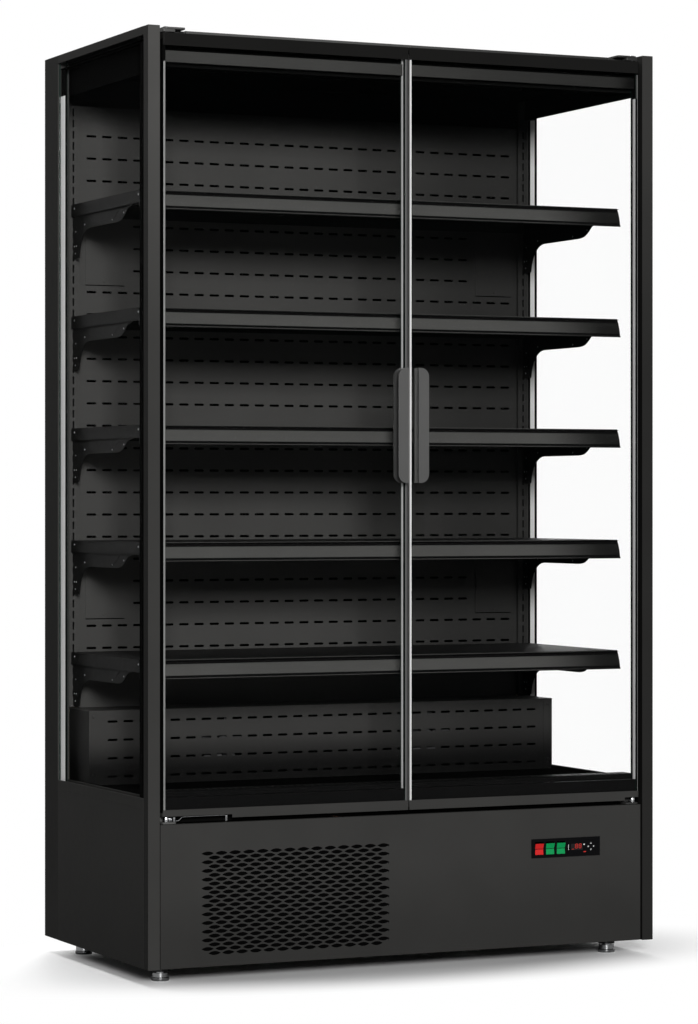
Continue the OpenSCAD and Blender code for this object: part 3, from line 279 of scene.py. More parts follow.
BODY = (0.0405, 0.0400, 0.0385)
# Painted shade: the body paint darkens towards the bottom, below 0.26 m, and on faces that look left or
# right.
body_paint = powder_coat("black_powder_coat", BODY, turns=[(2, 0.26, 0.06, 0.78)], sides=0.72)
# Painted shade on the faces of the rear posts that look left or right.
rear_paint = powder_coat("rear_post_powder_coat", BODY, sides=0.5)
# Painted light and shade: the liner darkens towards the right and near the top, under the roof.
liner_paint = powder_coat("liner_powder_coat", (0.052, 0.0515, 0.0495), 0.45, specular=0.1,
                          turns=[(0, 0.0, 0.45, 0.42), (2, 1.81, 1.885, 0.12)])
# Painted light and shade: the duct darkens towards the right, towards its foot and on its end faces.
duct_paint = powder_coat("duct_powder_coat", (0.042, 0.0415, 0.040), 0.45, specular=0.1,
                         turns=[(0, 0.0, 0.45, 0.6), (2, 0.50, 0.41, 0.08)], sides=0.35)
door_paint = powder_coat("door_powder_coat", shaded(BODY, 1.05), 0.4,
                         turns=[(2, 1.80, 1.81, 0.24)])
# Painted light and shade: the right post darker than the left, both lighter towards the top, their side faces
# darker.
post_paint = powder_coat("post_powder_coat", BODY, 0.45,
                         turns=[(0, -0.1, 0.1, 0.54), (2, 1.2, 1.95, 1.75)], sides=0.4)
# Painted shade: the price rails' label strips and lips darken towards their right ends.
rail_paint = powder_coat("rail_enamel", (0.066, 0.066, 0.063), 0.35, 0.1, 0.1,
                         turns=[(0, 0.36, 0.545, 0.16)])
# Painted shade: the glazing bars darken towards the right, most near their right ends.
bar_paint = powder_coat("glazing_bar_enamel", (0.046, 0.046, 0.044), 0.4, 0.1, 0.05,
                        turns=[(0, -0.3, 0.5, 0.5), (0, 0.50, 0.56, 0.15)])
# Painted shade: the shelf trays near-black, far darker than the body paint, for the shade on and under the
# shelves.
tray_paint = powder_coat("tray_powder_coat", (0.0095, 0.0095, 0.0092), 0.5, specular=0.1)
# Painted shade: the shelf brackets near-black for the shade under the shelves.
bracket_paint = powder_coat("bracket_powder_coat", (0.006, 0.006, 0.0058), 0.5, specular=0.15)
# Painted shade: the roof edge and hinge plates darken towards the right; their tone is lighter than the body
# paint.
edge_paint = powder_coat("roof_edge_enamel", (0.085, 0.085, 0.083), 0.4, 0.1, 0.1,
                         turns=[(0, -0.3, 0.5, 0.4)])
# Black of the fired frit band on the door glass; on the return-air sill and in the price rails' channels the
# same near-black is painted shade.
frit_and_shade_black = powder_coat("frit_and_shade_black", (0.0055, 0.0055, 0.0055), 0.3, 0.1, 0.02)
# Near-black put where there is only shade: the liner behind the wall's slots, sheets behind the grille and in
# the duct, strips under the blanking plates, and the condenser's black coil coating darkened further.
painted_shade_near_black = powder_coat("near_black_for_shade", (0.002, 0.002, 0.002), 0.7, 0.2, 0.0)
# Black of rubber seals; as painted shade on the canopy, deck tray, floor box and air outlet grid, and on some
# dark bars at the glass edges.
seal_and_shade_black = powder_coat("canopy_black", (0.0035, 0.0035, 0.0034), 0.6, 0.2, 0.0)
silver_bar = worked_metal("silver_spacer", (0.50, 0.50, 0.49), 0.42, (900, 900, 4), metal=0.3)
# Bright aluminium foil, near-white and barely metallic: the tone also paints in its reflection of the white
# room.
foil_with_painted_reflection = worked_metal("bright_foil", (0.93, 0.93, 0.92), 0.4, (900, 900, 4), metal=0.1)
dull_bar = worked_metal("dull_spacer", (0.22, 0.22, 0.215), 0.42, (900, 900, 4), metal=0.35)
grey_bar = worked_metal("grey_spacer", (0.09, 0.09, 0.09), 0.4, (900, 900, 4), metal=0.3)
handle_metal = worked_metal("dark_anodised", (0.20, 0.20, 0.197), 0.36, (1500, 1500, 5))
zinc = worked_metal("zinc_plate", (0.56, 0.57, 0.58), 0.38, (90, 90, 90))
chrome = worked_metal("bright_chrome", (0.74, 0.75, 0.76), 0.14, (60, 60, 600), 0.1)
rubber = moulded("seal_rubber", (0.012, 0.012, 0.012), 0.7, specular=0.2)
black_moulding = moulded("black_moulding", (0.0025, 0.0025, 0.003), 0.4, 0.1, 0.08)
matt_moulding = moulded("matt_moulding", (0.02, 0.02, 0.021), 0.55)
smoked = moulded("smoked_window", (0.012, 0.010, 0.010), 0.08, 0.0, 0.5)
foam = moulded("rigid_foam", (0.72, 0.66, 0.45), 0.85, 0.5, 0.2, 700)
red_switch = switch_plastic("red_switch", (0.62, 0.02, 0.02), "main_rocker")
green_switch = switch_plastic("green_switch", (0.004, 0.30, 0.085), "lamp_rocker")
white_key = moulded("white_moulding", (0.78, 0.78, 0.77), 0.35, 0.08)
red_glow = lit_sign("red_segments", (0.85, 0.04, 0.03), 0.32)
enamel = moulded("black_enamel", (0.012, 0.012, 0.013), 0.25, 0.2, 0.5, 900)
fin_metal = worked_metal("fin_aluminium", (0.55, 0.57, 0.58), 0.4, (40, 40, 900))
copper = worked_metal("copper_pipe", (0.62, 0.29, 0.17), 0.3, (300, 300, 300))
door_glass = clear_glass("door_glass", 1)
side_glass = clear_glass("side_glass", 0)

finishes = {
    "black_paint": body_paint, "liner_paint": liner_paint, "rail_grey": rail_paint, "clear_glass": door_glass,
    "spacer_silver": silver_bar, "handle_aluminium": handle_metal, "seal_rubber": rubber, "foam": foam,
    "foot_chrome": chrome, "hinge_steel": zinc, "bezel_black": black_moulding, "switch_red": red_switch,
    "switch_green": green_switch, "key_white": white_key, "machine_black": enamel,
    "coil_aluminium": fin_metal, "fan_plastic": matt_moulding, "copper": copper,
}
special = {
    "side_glass_left": side_glass, "side_glass_right": side_glass,
    "door_left_frame": door_paint, "door_right_frame": door_paint,
    # condenser: near-black, painted shade over its black coil coating
    "front_posts": post_paint, "rear_posts": rear_paint, "condenser": painted_shade_near_black,
}
# canopy, deck tray, floor box and air outlet grid: near-black as painted shade; door seals: black rubber
for names, finish in (
        (("canopy", "deck_tray", "floor_box", "air_outlet_grid", "door_seals"), seal_and_shade_black),
        (("key_left", "key_right", "key_up", "key_down"), matt_moulding)):
    special.update(dict.fromkeys(names, finish))
node_slot = {row["node"]: row["material_slot"] for row in frame["record"]["subparts"]}
for name, node in nodes.items():
    for slot in node.material_slots:
        slot.material = special.get(name) or finishes[node_slot[name]]


# Shapes, in millimetres of width, depth and height

def along_x(u, v, w):
    return (w, u, v)


def along_y(u, v, w):
    return (u, w, v)


def along_z(u, v, w):
    return (u, v, w)


def rounded(outline, radius, steps=4):
    """The outline with its corners rounded; radius is one number or one for each corner."""
    radii = radius if isinstance(radius, (list, tuple)) else [radius] * len(outline)
    points = [Vector(point) for point in outline]
    made = []
    for number, corner in enumerate(points):
        before, after = points[number - 1] - corner, points[(number + 1) % len(points)] - corner
        reach = min(radii[number], before.length * 0.49, after.length * 0.49)
        if reach <= 0:
            made.append(tuple(corner))
            continue
        start, end = corner + before.normalized() * reach, corner + after.normalized() * reach
        for step in range(steps + 1):
            share = step / steps
            made.append(tuple(start * (1 - share) ** 2 + corner * 2 * share * (1 - share) + end * share ** 2))
    return made


def rectangle(x0, x1, z0, z1):
    return [(x0, z0), (x1, z0), (x1, z1), (x0, z1)]


def slot_hole(x, z, length, height, steps=5):
    """A hole with round ends, counter-clockwise, along its first axis; a negative length stands it up."""
    upright = length < 0
    reach, half = abs(length) / 2 - height / 2, height / 2
    points = []
    for end in (1, -1):
        for step in range(steps + 1):
            turn = math.pi * step / steps - math.pi / 2 + (0 if end > 0 else math.pi)
            points.append((end * reach + half * math.cos(turn), half * math.sin(turn)))
    return [(x - v, z + u) if upright else (x + u, z + v) for u, v in points]


def grown(outline, amount):
    """The outline moved outwards along its corners' normals."""
    made, count = [], len(outline)
    for number in range(count):
        before, here, after = (Vector(outline[(number + shift) % count]) for shift in (-1, 0, 1))
        one, two = (here - before).normalized(), (after - here).normalized()
        out = Vector((one.y + two.y, -one.x - two.x))
        made.append(tuple(here + out.normalized() * amount))
    return made


def unit_circle(sides):
    turns = [math.tau * number / sides for number in range(sides)]
    return [(math.cos(turn), math.sin(turn)) for turn in turns]


def between_rings(rings, count):
    """Faces between each ring of count points and the next."""
    return [(low + n, low + (n + 1) % count, low + count + (n + 1) % count, low + count + n)
            for low in range(0, (rings - 1) * count, count) for n in range(count)]


class Shape:
    """Points and faces gathered into one piece."""

    def __init__(self):
        self.points, self.faces = [], []

    def add(self, points, faces):
        start = len(self.points)
        self.points += [tuple(point) for point in points]
        self.faces += [[start + number for number in face] for face in faces]
        return self

    def join(self, *others):
        for other in others:
            self.add(other.points, other.faces)
        return self

    def block(self, x0, x1, y0, y1, z0, z1):
        corners = [(x, y, z) for x in (x0, x1) for y in (y0, y1) for z in (z0, z1)]
        sides = [(0, 1, 3, 2), (4, 6, 7, 5), (0, 4, 5, 1), (2, 3, 7, 6), (0, 2, 6, 4), (1, 5, 7, 3)]
        return self.add(corners, sides)

    def prism(self, outline, start, end, across):
        count = len(outline)
        sides = [(n, (n + 1) % count, count + (n + 1) % count, count + n) for n in range(count)]
        return self.add([across(u, v, w) for w in (start, end) for u, v in outline],
                        [range(count), range(count, 2 * count)] + sides)

    def turned(self, profile, u, v, across, sides=32):
        """A closed body turned about an axis; the profile's pairs are radius and run."""
        rings, points, faces = [], [], []
        for radius, run in profile:
            if radius <= 0:
                rings.append([len(points)] * sides)
                points.append(across(u, v, run))
            else:
                rings.append(list(range(len(points), len(points) + sides)))
                points += [across(u + radius * x, v + radius * y, run) for x, y in unit_circle(sides)]
        for low, high in zip(rings, rings[1:]):
            for n in range(sides):
                face = [low[n], low[(n + 1) % sides], high[(n + 1) % sides], high[n]]
                faces.append(list(dict.fromkeys(face)))
        for ring in (rings[0], rings[-1]):
            if ring[0] != ring[1]:
                faces.append(ring)
        return self.add(points, faces)

    def tube(self, path, radius, sides=12):
        """A round bar along a path of points."""
        path = [Vector(point) for point in path]
        side = Vector((0.3, 0.2, 1)).cross(path[1] - path[0]).normalized()
        points = []
        for number, centre in enumerate(path):
            ahead = (path[min(number + 1, len(path) - 1)] - path[max(number - 1, 0)]).normalized()
            side = (side - ahead * side.dot(ahead)).normalized()
            other = ahead.cross(side)
            points += [centre + radius * (side * x + other * y) for x, y in unit_circle(sides)]
        ends = [range(sides), range(len(points) - sides, len(points))]
        return self.add(points, between_rings(len(path), sides) + ends)

    def sheet(self, strips, front, back, across, rim=0.4):
        """A sheet in strips, each (outline, holes), with a rounded-over rim round the front of every hole."""
        for outline, holes in strips:
            loops = [outline] + [grown(hole, rim) for hole in holes]
            flat = [Vector((u, v, 0)) for loop in loops for u, v in loop]
            faces = tessellate_polygon([[Vector((u, v, 0)) for u, v in loop] for loop in loops])
            self.add([across(point.x, point.y, front) for point in flat], faces)
            for hole in holes:
                rings = [(grown(hole, rim), front), (grown(hole, rim * 0.3), front + rim * 0.3),
                         (hole, front + rim), (hole, back)]
                points = [across(u, v, w) for ring, w in rings for u, v in ring]
                self.add(points, between_rings(len(rings), len(hole)))
        return self

    def mirrored(self):
        """The same on the other side of the middle as well."""
        return self.join(Shape().join(self).flipped())

    def flipped(self):
        """The same on the other side of the middle instead."""
        self.points = [(-x, y, z) for x, y, z in self.points]
        self.faces = [list(reversed(face)) for face in self.faces]
        return self

    def make(self, name, body, slot, stands_for=(), edge=0.0, finish=None, sharp=32):
        """The finished piece. stands_for lists the nodes that it replaces, edge is the width of its rounded
        edges and sharp the least angle, in degrees, between faces that are shaded apart."""
        mesh = bpy.data.meshes.new(name)
        mesh.from_pydata([place(*point) for point in self.points], [], self.faces)
        work = bmesh.new()
        work.from_mesh(mesh)
        bmesh.ops.remove_doubles(work, verts=work.verts, dist=0.002 * MM)
        bmesh.ops.recalc_face_normals(work, faces=work.faces)
        work.to_mesh(mesh)
        work.free()
        mesh.polygons.foreach_set("use_smooth", [True] * len(mesh.polygons))
        mesh.set_sharp_from_angle(angle=math.radians(sharp))
        mesh.materials.append(finish or finishes[slot])
        piece = bpy.data.objects.new(name, mesh)
        bpy.context.scene.collection.objects.link(piece)
        if edge:
            round_edges(piece, edge)
        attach(piece, body)
        if stands_for:
            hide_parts(*stands_for)
        return piece


def round_edges(piece, width, weld=False):
    if weld:
        joined = piece.modifiers.new("joined", "WELD")
        joined.merge_threshold = 0.01 * MM
    bevel = piece.modifiers.new("rounded_edges", "BEVEL")
    bevel.width, bevel.segments, bevel.limit_method = width * MM, 2, "ANGLE"
    bevel.angle_limit = math.radians(40)
    bevel.harden_normals = True


# Cabinet

for width, names in (
        (0.4, ("side_panels", "deck_tray")),
        (0.5, ("side_rails", "control_bezel")),
        (0.6, ("canopy", "door_left_frame", "door_right_frame")),
        (0.7, ("door_left_handle", "door_right_handle", "main_rocker", "lamp_rocker", "fan_rocker")),
        (1.0, ("base_frame", "electrical_box")),
        (1.2, ("front_posts", "rear_posts"))):
    for name in names:
        round_edges(nodes[name], width, weld=True)

# Planes of the liner, then its rows of air slots
FLOOR_TOP, DECK_TOP, DUCT_TOP, WALL_TOP = 341, 350, 513, 1848
WALL_HALF, WALL_Y, FOAM_Y, SHEET = 549.3, 552, 590, 1.2
AIR_X, AIR_Z, AIR_L, AIR_H, AIR_TOP = 37.0, 49.5, 23.6, 5.3, 1782.7
AIR_ROWS, AIR_COLUMNS, HOLE_RIM = 24, 29, 0.2
BLANK_STARTS, BLANK_COLUMNS = (4, 19), 3
BLANK_ROWS = [first + row for first in BLANK_STARTS for row in range(3)]


def slotted_strips(left, right, bottom, top, first, pitch, rows, blank_rows=()):
    """Strips with one row of air slots each, from the top down."""
    strips, high = [], top
    for row in range(rows):
        middle = first - row * pitch
        low = bottom if row == rows - 1 else middle - pitch / 2
        columns = range(AIR_COLUMNS)
        if row in blank_rows:
            columns = columns[BLANK_COLUMNS:-BLANK_COLUMNS]
        holes = [slot_hole((column - AIR_COLUMNS // 2) * AIR_X, middle, AIR_L, AIR_H) for column in columns]
        strips.append((rectangle(left, right, low, high), holes))
        high = low
    return strips


def back_wall():
    """Slotted wall with folded ends, the liner behind it in near-black as painted shade, and four blanking
    plates with screws and a painted shadow strip under each.
    """
    bend, inner, back = WALL_HALF - 2, WALL_HALF - SHEET, WALL_Y + SHEET
    strips = slotted_strips(-bend, bend, DUCT_TOP, WALL_TOP, AIR_TOP, AIR_Z, AIR_ROWS, BLANK_ROWS)
    wall = Shape().sheet(strips, WALL_Y, back, along_y, HOLE_RIM)
    fold = [(bend, WALL_Y), (WALL_HALF, WALL_Y), (WALL_HALF, FOAM_Y), (inner, FOAM_Y), (inner, back),
            (bend, back)]
    wall.join(Shape().prism(rounded(fold, [0, 1.6, 0, 0, 0.4, 0]), DUCT_TOP, WALL_TOP, along_z).mirrored())
    wall.make("slotted_back_wall", "cabinet", "liner_paint", ["slotted_wall"], sharp=16)
    # near-black liner behind the slots: painted shade
    liner = Shape().block(-572, 572, 587.8, 589.6, 516, 1914.95)
    liner.make("inner_liner", "cabinet", "liner_paint", finish=painted_shade_near_black)
    plates, heads, shadow_strips = Shape(), Shape(), Shape()
    left, right, plate_h = 439, 533, 150
    for first in BLANK_STARTS:
        low = AIR_TOP - (first + 2) * AIR_Z - 33
        plates.prism(rounded(rectangle(left, right, low, low + plate_h), 3), 550.5, 551.9, along_y)
        # a thin near-black strip just under each plate: painted shadow
        shadow_outline = rounded(rectangle(left + 0.5, right - 0.5, low - 2.0, low - 0.1), 0.5)
        shadow_strips.prism(shadow_outline, 551.2, 551.9, along_y)
        for height in (low + 8, low + plate_h - 8):
            heads.turned([(3.2, 550.4), (3.0, 549.9), (1.6, 549.4), (0, 549.3)], 489, height, along_y, 20)
    plates.mirrored().make("blanking_plates", "cabinet", "liner_paint", edge=0.25)
    heads.mirrored().make("blanking_screws", "cabinet", "liner_paint")
    shadow_strips.mirrored().make("blanking_painted_shadows", "cabinet", "seal_rubber", finish=painted_shade_near_black)


def uprights():
    """Slotted uprights at both ends of the wall, on which the shelves hang."""
    left, right, front, foot = 551.5, 571.3, 545, 515
    slot_low, slot_length, pitch, count = 537.2, 17.5, 24.75, 53
    strips, low = [], foot
    for number in range(count):
        start = slot_low + number * pitch
        high = WALL_TOP if number == count - 1 else start + slot_length + 3.6
        slot = slot_hole(563, start + slot_length / 2, -slot_length, 4)
        strips.append((rectangle(left, right, low, high), [slot]))
        low = high
    made = Shape().sheet(strips, front, front + 2, along_y, 0.5)
    for inner, outer in ((left, left - 1.5), (right, right + 1.5)):
        flange = [(inner, front), (outer, front), (outer, FOAM_Y), (inner, FOAM_Y)]
        made.prism(rounded(flange, [0, 1.4, 0, 0]), foot, WALL_TOP, along_z)
    made.mirrored().make("slotted_uprights", "cabinet", "liner_paint", ["shelf_uprights"], sharp=16)


def lower_duct():
    """Slotted duct at the foot of the wall, with a separate strip at its right end."""
    front, rear, sheet = 420, 544.5, 1.5
    inner, top = front + sheet, DUCT_TOP - sheet
    strips = slotted_strips(-571.5, 549.8, DECK_TOP, top, 488.5, 40.3, 4)
    duct = Shape().sheet(strips, front, inner, along_y, HOLE_RIM)
    strip = [(551, front), (573, front), (573, rear), (571.5, rear), (571.5, inner), (551, inner)]
    duct.prism(rounded(strip, [0.5, 1.8, 0, 0, 0, 0]), DECK_TOP, top, along_z)
    duct.prism([(549.8, 421.1), (551, 421.1), (551, inner), (549.8, inner)], DECK_TOP, top, along_z)
    left_end = [(-571.5, front), (-573, front), (-573, rear), (-571.5, rear)]
    duct.prism(rounded(left_end, [0, 1.6, 0, 0]), DECK_TOP, top, along_z)
    lid = [(front, top), (front, DUCT_TOP), (rear, DUCT_TOP), (rear, top)]
    duct.prism(rounded(lid, [0, 1.4, 0, 0]), -573, 573, along_x)
    duct.block(-WALL_HALF, WALL_HALF, rear, WALL_Y + SHEET, top, DUCT_TOP)
    head = [(4.0, 420.1), (3.8, 418.6), (2.4, 418.0), (0, 418.0)]
    for side in (-1, 1):
        duct.block(side * 572.9 - 0.1, side * 572.9 + 0.1, inner, rear, FLOOR_TOP, DECK_TOP)
        for height in (500, 372):
            duct.turned(head, side * 562, height, along_y, 20)
    duct.make("lower_air_duct", "cabinet", "liner_paint", ["lower_duct"], finish=duct_paint, sharp=16)
    # near-black sheet behind the duct's slots: painted shade inside the duct
    baffle = Shape().block(-565, 565, 440, 441.5, 345, 510)
    baffle.make("duct_shade_sheet", "cabinet", "liner_paint", finish=painted_shade_near_black)


def lens_hole(x, z, length=27.6, height=8.3, steps=8):
    """A hole between two shallow arcs."""
    radius = (length ** 2 + height ** 2) / height / 4
    reach = math.asin(length / 2 / radius)
    turns = [reach * (2 * step / steps - 1) for step in range(steps)]
    lower = [(radius * math.sin(turn), radius - height / 2 - radius * math.cos(turn)) for turn in turns]
    return [(x + u, z + v) for u, v in lower] + [(x - u, z - v) for u, v in lower]


def front_panel():
    """Lower front panel: plain strips round the controls' opening, grille, folded edges, and a near-black
    sheet behind the grille as painted shade.
    """
    front, inner, half, fold = 4, 4 + SHEET, 569, 570.4
    open_left, open_right = 301.5, 462.5
    grille_right, grille_low, grille_high = -47, 24, 241.1
    first_lens, first_row, pitch_x, pitch_z, rows, columns = -464.8, 236.6, 31.2, 9.05, 24, 14
    plain = [(-half, half, 266, 299), (-half, open_left, grille_high, 266),
             (open_right, half, grille_low, 266), (open_left, open_right, 230, 266),
             (open_left, open_right, grille_low, 197), (grille_right, open_left, grille_low, grille_high),
             (-half, half, 2, grille_low)]
    strips, high = [(rectangle(*limits), []) for limits in plain], grille_high
    for row in range(rows):
        middle = first_row - row * pitch_z
        low = grille_low if row == rows - 1 else middle - pitch_z / 2
        odd = row % 2
        lens_x = [first_lens + (column + odd / 2) * pitch_x for column in range(columns - odd)]
        holes = [lens_hole(x, middle) for x in lens_x]
        strips.append((rectangle(-half, grille_right, low, high), holes))
        high = low
    panel = Shape().sheet(strips, front, inner, along_y, 0.25)
    edge = rounded([(half, front), (570.5, front), (570.5, 8), (569.3, 8), (569.3, inner), (half, inner)],
                   [0, 1.5, 0, 0, 0, 0])
    panel.prism(edge, 1, 300, along_z).prism([(-u, v) for u, v in edge], 1, 300, along_z)
    top = [(front, 299), (front, 300), (19.2, 300), (19.2, 298.8), (inner, 298.8), (inner, 299)]
    panel.prism(rounded(top, [0, 1.2, 0, 0, 0, 0]), -fold, fold, along_x)
    foot = [(front, 2), (front, 0.6), (8, 0.6), (8, 1.8), (inner, 2)]
    panel.prism(rounded(foot, [0, 1.2, 0, 0, 0]), -fold, fold, along_x)
    panel.make("grille_panel", "cabinet", "black_paint", ["front_panel"], sharp=16)
    # near-black sheet behind the grille holes: painted shade of the machine bay
    mesh = Shape().block(-500, -30, 6.4, 7.2, 14, 262)
    mesh.make("grille_shade_sheet", "cabinet", "black_paint", finish=painted_shade_near_black)


def return_sill():
    """Slotted sill that takes the air back, with a rounded nose."""
    half, pitch, count, top = 572.0, 16.0, 69, 366
    strips = []
    for number in range(count):
        middle = (number - (count - 1) / 2) * pitch
        low = -half if number == 0 else middle - pitch / 2
        high = half if number == count - 1 else middle + pitch / 2
        strips.append((rectangle(low, high, 46, 84), [slot_hole(middle, 61, -26, 4)]))
    sill = Shape().sheet(strips, top, top - 1.5, along_z, -0.4)
    nose = [(46, top), (44.5, 365.4), (42, 363.6), (40.6, 361), (40, 358), (40, FLOOR_TOP), (41.5, FLOOR_TOP),
            (41.5, 357.5), (46, top - 1.5)]
    sill.prism(nose, -half, half, along_x)
    heel = [(84, top), (85, top), (85, FLOOR_TOP), (83.5, FLOOR_TOP), (83.5, top - 1.5), (84, top - 1.5)]
    sill.prism(rounded(heel, [0, 0.9, 0, 0, 0, 0]), -half, half, along_x)
    # near-black: painted shade on the sill
    sill.make("return_air_grille", "cabinet", "liner_paint", ["return_air_sill"], finish=frit_and_shade_black,
              sharp=16)


def feet():
    """Levelling feet: a dark cover on a threaded stem, and a bright pad."""
    cover = [(14, -0.2), (19.4, -0.2), (19.8, -1.2), (19.8, -2.6), (18.6, -3.4), (18.4, -14.5), (17.6, -15.5),
             (11, -15.7)]
    pad = [(9, -15.7), (9, -17.5), (16.4, -17.6), (17.2, -18.3), (17.4, -27), (18.6, -28.4), (18.8, -33.6),
           (18.0, -35), (0, -35)]
    covers, pads = Shape(), Shape()
    for side in (-1, 1):
        for depth in (95, 555):
            where = (side * 535, depth, along_z)
            covers.turned(cover, *where, 48)
            pads.turned(pad, *where, 48)
            pads.turned([(5, 27), (5, -3)], *where, 24)
            for high in range(27, 0, -3):
                pads.turned([(5.0, high), (5.6, high - 0.8), (5.0, high - 1.6)], *where, 24)
    covers.make("foot_covers", "cabinet", "machine_black", ["levelling_feet"])
    pads.make("foot_pads", "cabinet", "foot_chrome", ["levelling_feet"])


def side_units():
    """Spacers of the side glass: one bright foil at the rear on each side, whose near-white tone also paints
    in its reflection of the white room, the rest in black. The right foil stands inside the cabinet, folded
    towards the front."""
    foil, black = Shape(), Shape()
    middle, thin, thick, front, rear = 587, 4.8, 5.8, 60.4, 544.8
    # bright foils: their near-white tone paints in a reflection of the white room
    foil.block(-592.9, -592.2, 517, rear, 344, 1866)
    foil.prism([(571.9, 526.4), (576.5, 513.9), (576.9, 513.9), (576.9, 526.4)], 366.5, 1866, along_z)
    for y0, y1 in ((503.7, 512.4), (535.2, 544.6)):
        black.block(575.9, 576.9, y0, y1, 366.5, 1867)
    black.block(-592.9, -592.2, 514.5, 516.8, 344, 1925)
    for x in (-middle, middle):
        black.block(x - thin, x + thin, 534, rear, 344, 1925)
        black.block(x - thick, x + thick, front, 66, 344, 1925)
        for low in (FLOOR_TOP, 1925.2):
            black.block(x - thick, x + thick, front, rear, low, low + 2.8)
    foil.make("side_foils", "cabinet", "spacer_silver", ["side_glass_spacers"], edge=0.1, finish=foil_with_painted_reflection)
    black.make("side_seals", "cabinet", "seal_rubber", ["side_glass_spacers"], edge=0.3, finish=seal_and_shade_black)


def roof_edge():
    """Folded front edge of the roof sheet, between the hinge plates, and the upstand along its rear edge."""
    low, high, front, rear, sheet = 1945.1, 1952.8, 31.5, 60, 1.5
    outline = [(front, low), (front, high), (rear, high), (rear, low), (rear - sheet, low),
               (rear - sheet, high - sheet), (front + sheet, high - sheet), (front + sheet, low)]
    fold = Shape().prism(rounded(outline, [0, 1.6, 1.6, 0, 0, 0, 0, 0]), -503, 503, along_x)
    fold.make("roof_edge", "cabinet", "black_paint", finish=edge_paint)
    upstand = Shape().block(-571.4, 571.4, 588.6, 589.9, low, 1955.4)
    upstand.make("roof_upstand", "cabinet", "black_paint", finish=body_paint)


back_wall()
side_units()
roof_edge()
uprights()
lower_duct()
front_panel()
return_sill()
feet()


# Doors

def hinges():
    """Hinge plates and pivots above and below the doors, and the torsion rod below the left door."""
    pivot = (555, 14, along_z)
    plates = Shape()
    plates.prism(rounded(rectangle(504, 565, 31.5, 75), [2, 2, 6, 6]), 1945.2, 1951.2, along_z)
    plates.prism(rounded(rectangle(514, 562, 4, 64), [6, 8, 3, 3]), 1951.3, 1955.4, along_z)
    plates.prism(rounded(rectangle(536, 564, 5, 31), [4, 4, 2, 2]), 1945.2, 1951.2, along_z)
    plates.prism(rounded(rectangle(534.5, 565, 4, 34), 5), 301, 305, along_z)
    plates.prism(rounded(rectangle(534.5, 565, 301, 315), 4), 30, 34, along_y)
    plates.mirrored().make("hinge_plates", "cabinet", "hinge_steel", ["door_hinges"], edge=0.5,
                           finish=edge_paint)
    bright = Shape()
    for x, y in ((524, 50), (552, 50), (524, 36)):
        bright.turned([(4.2, 1955.4), (4.0, 1956.2), (2.6, 1956.8), (0, 1956.8)], x, y, along_z, 24)
    bright.turned([(5, 1931.7), (5, 1956.0), (4.6, 1956.8), (0, 1956.8)], *pivot)
    bright.turned([(6.4, 305), (6.6, 306), (6.6, 314.5), (5.8, 316), (5, 316.2), (5, 323.3), (4.4, 323.9),
                   (0, 323.9)], *pivot)
    bright.turned([(0, 302.6), (3.0, 302.7), (4.4, 303.4), (4.6, 305)], 541, 14, along_z, 20)
    bright.turned([(4.2, 30), (4.0, 28.8), (2.6, 28.2), (0, 28.2)], 541, 309, along_y, 20)
    bright.mirrored().make("hinge_pins", "cabinet", "hinge_steel", ["door_hinges"], finish=chrome)
    path = ((-533, 306.5), (-527, 306.8), (-524.5, 308), (-520.5, 312.6), (-518, 313.9), (-514, 314.4),
            (-470, 314.6), (-416.5, 314.7))
    rod = Shape().tube([(x, 14, z) for x, z in path], 1.3, 12)
    for x in (-537, -419.5):
        rod.prism(rounded([(12, 301), (34, 301), (34, 315.4), (12, 315.4)], 2), x - 2, x + 2, along_x)
    rod.make("torsion_rod", "cabinet", "hinge_steel", ["door_hinges"], finish=chrome)


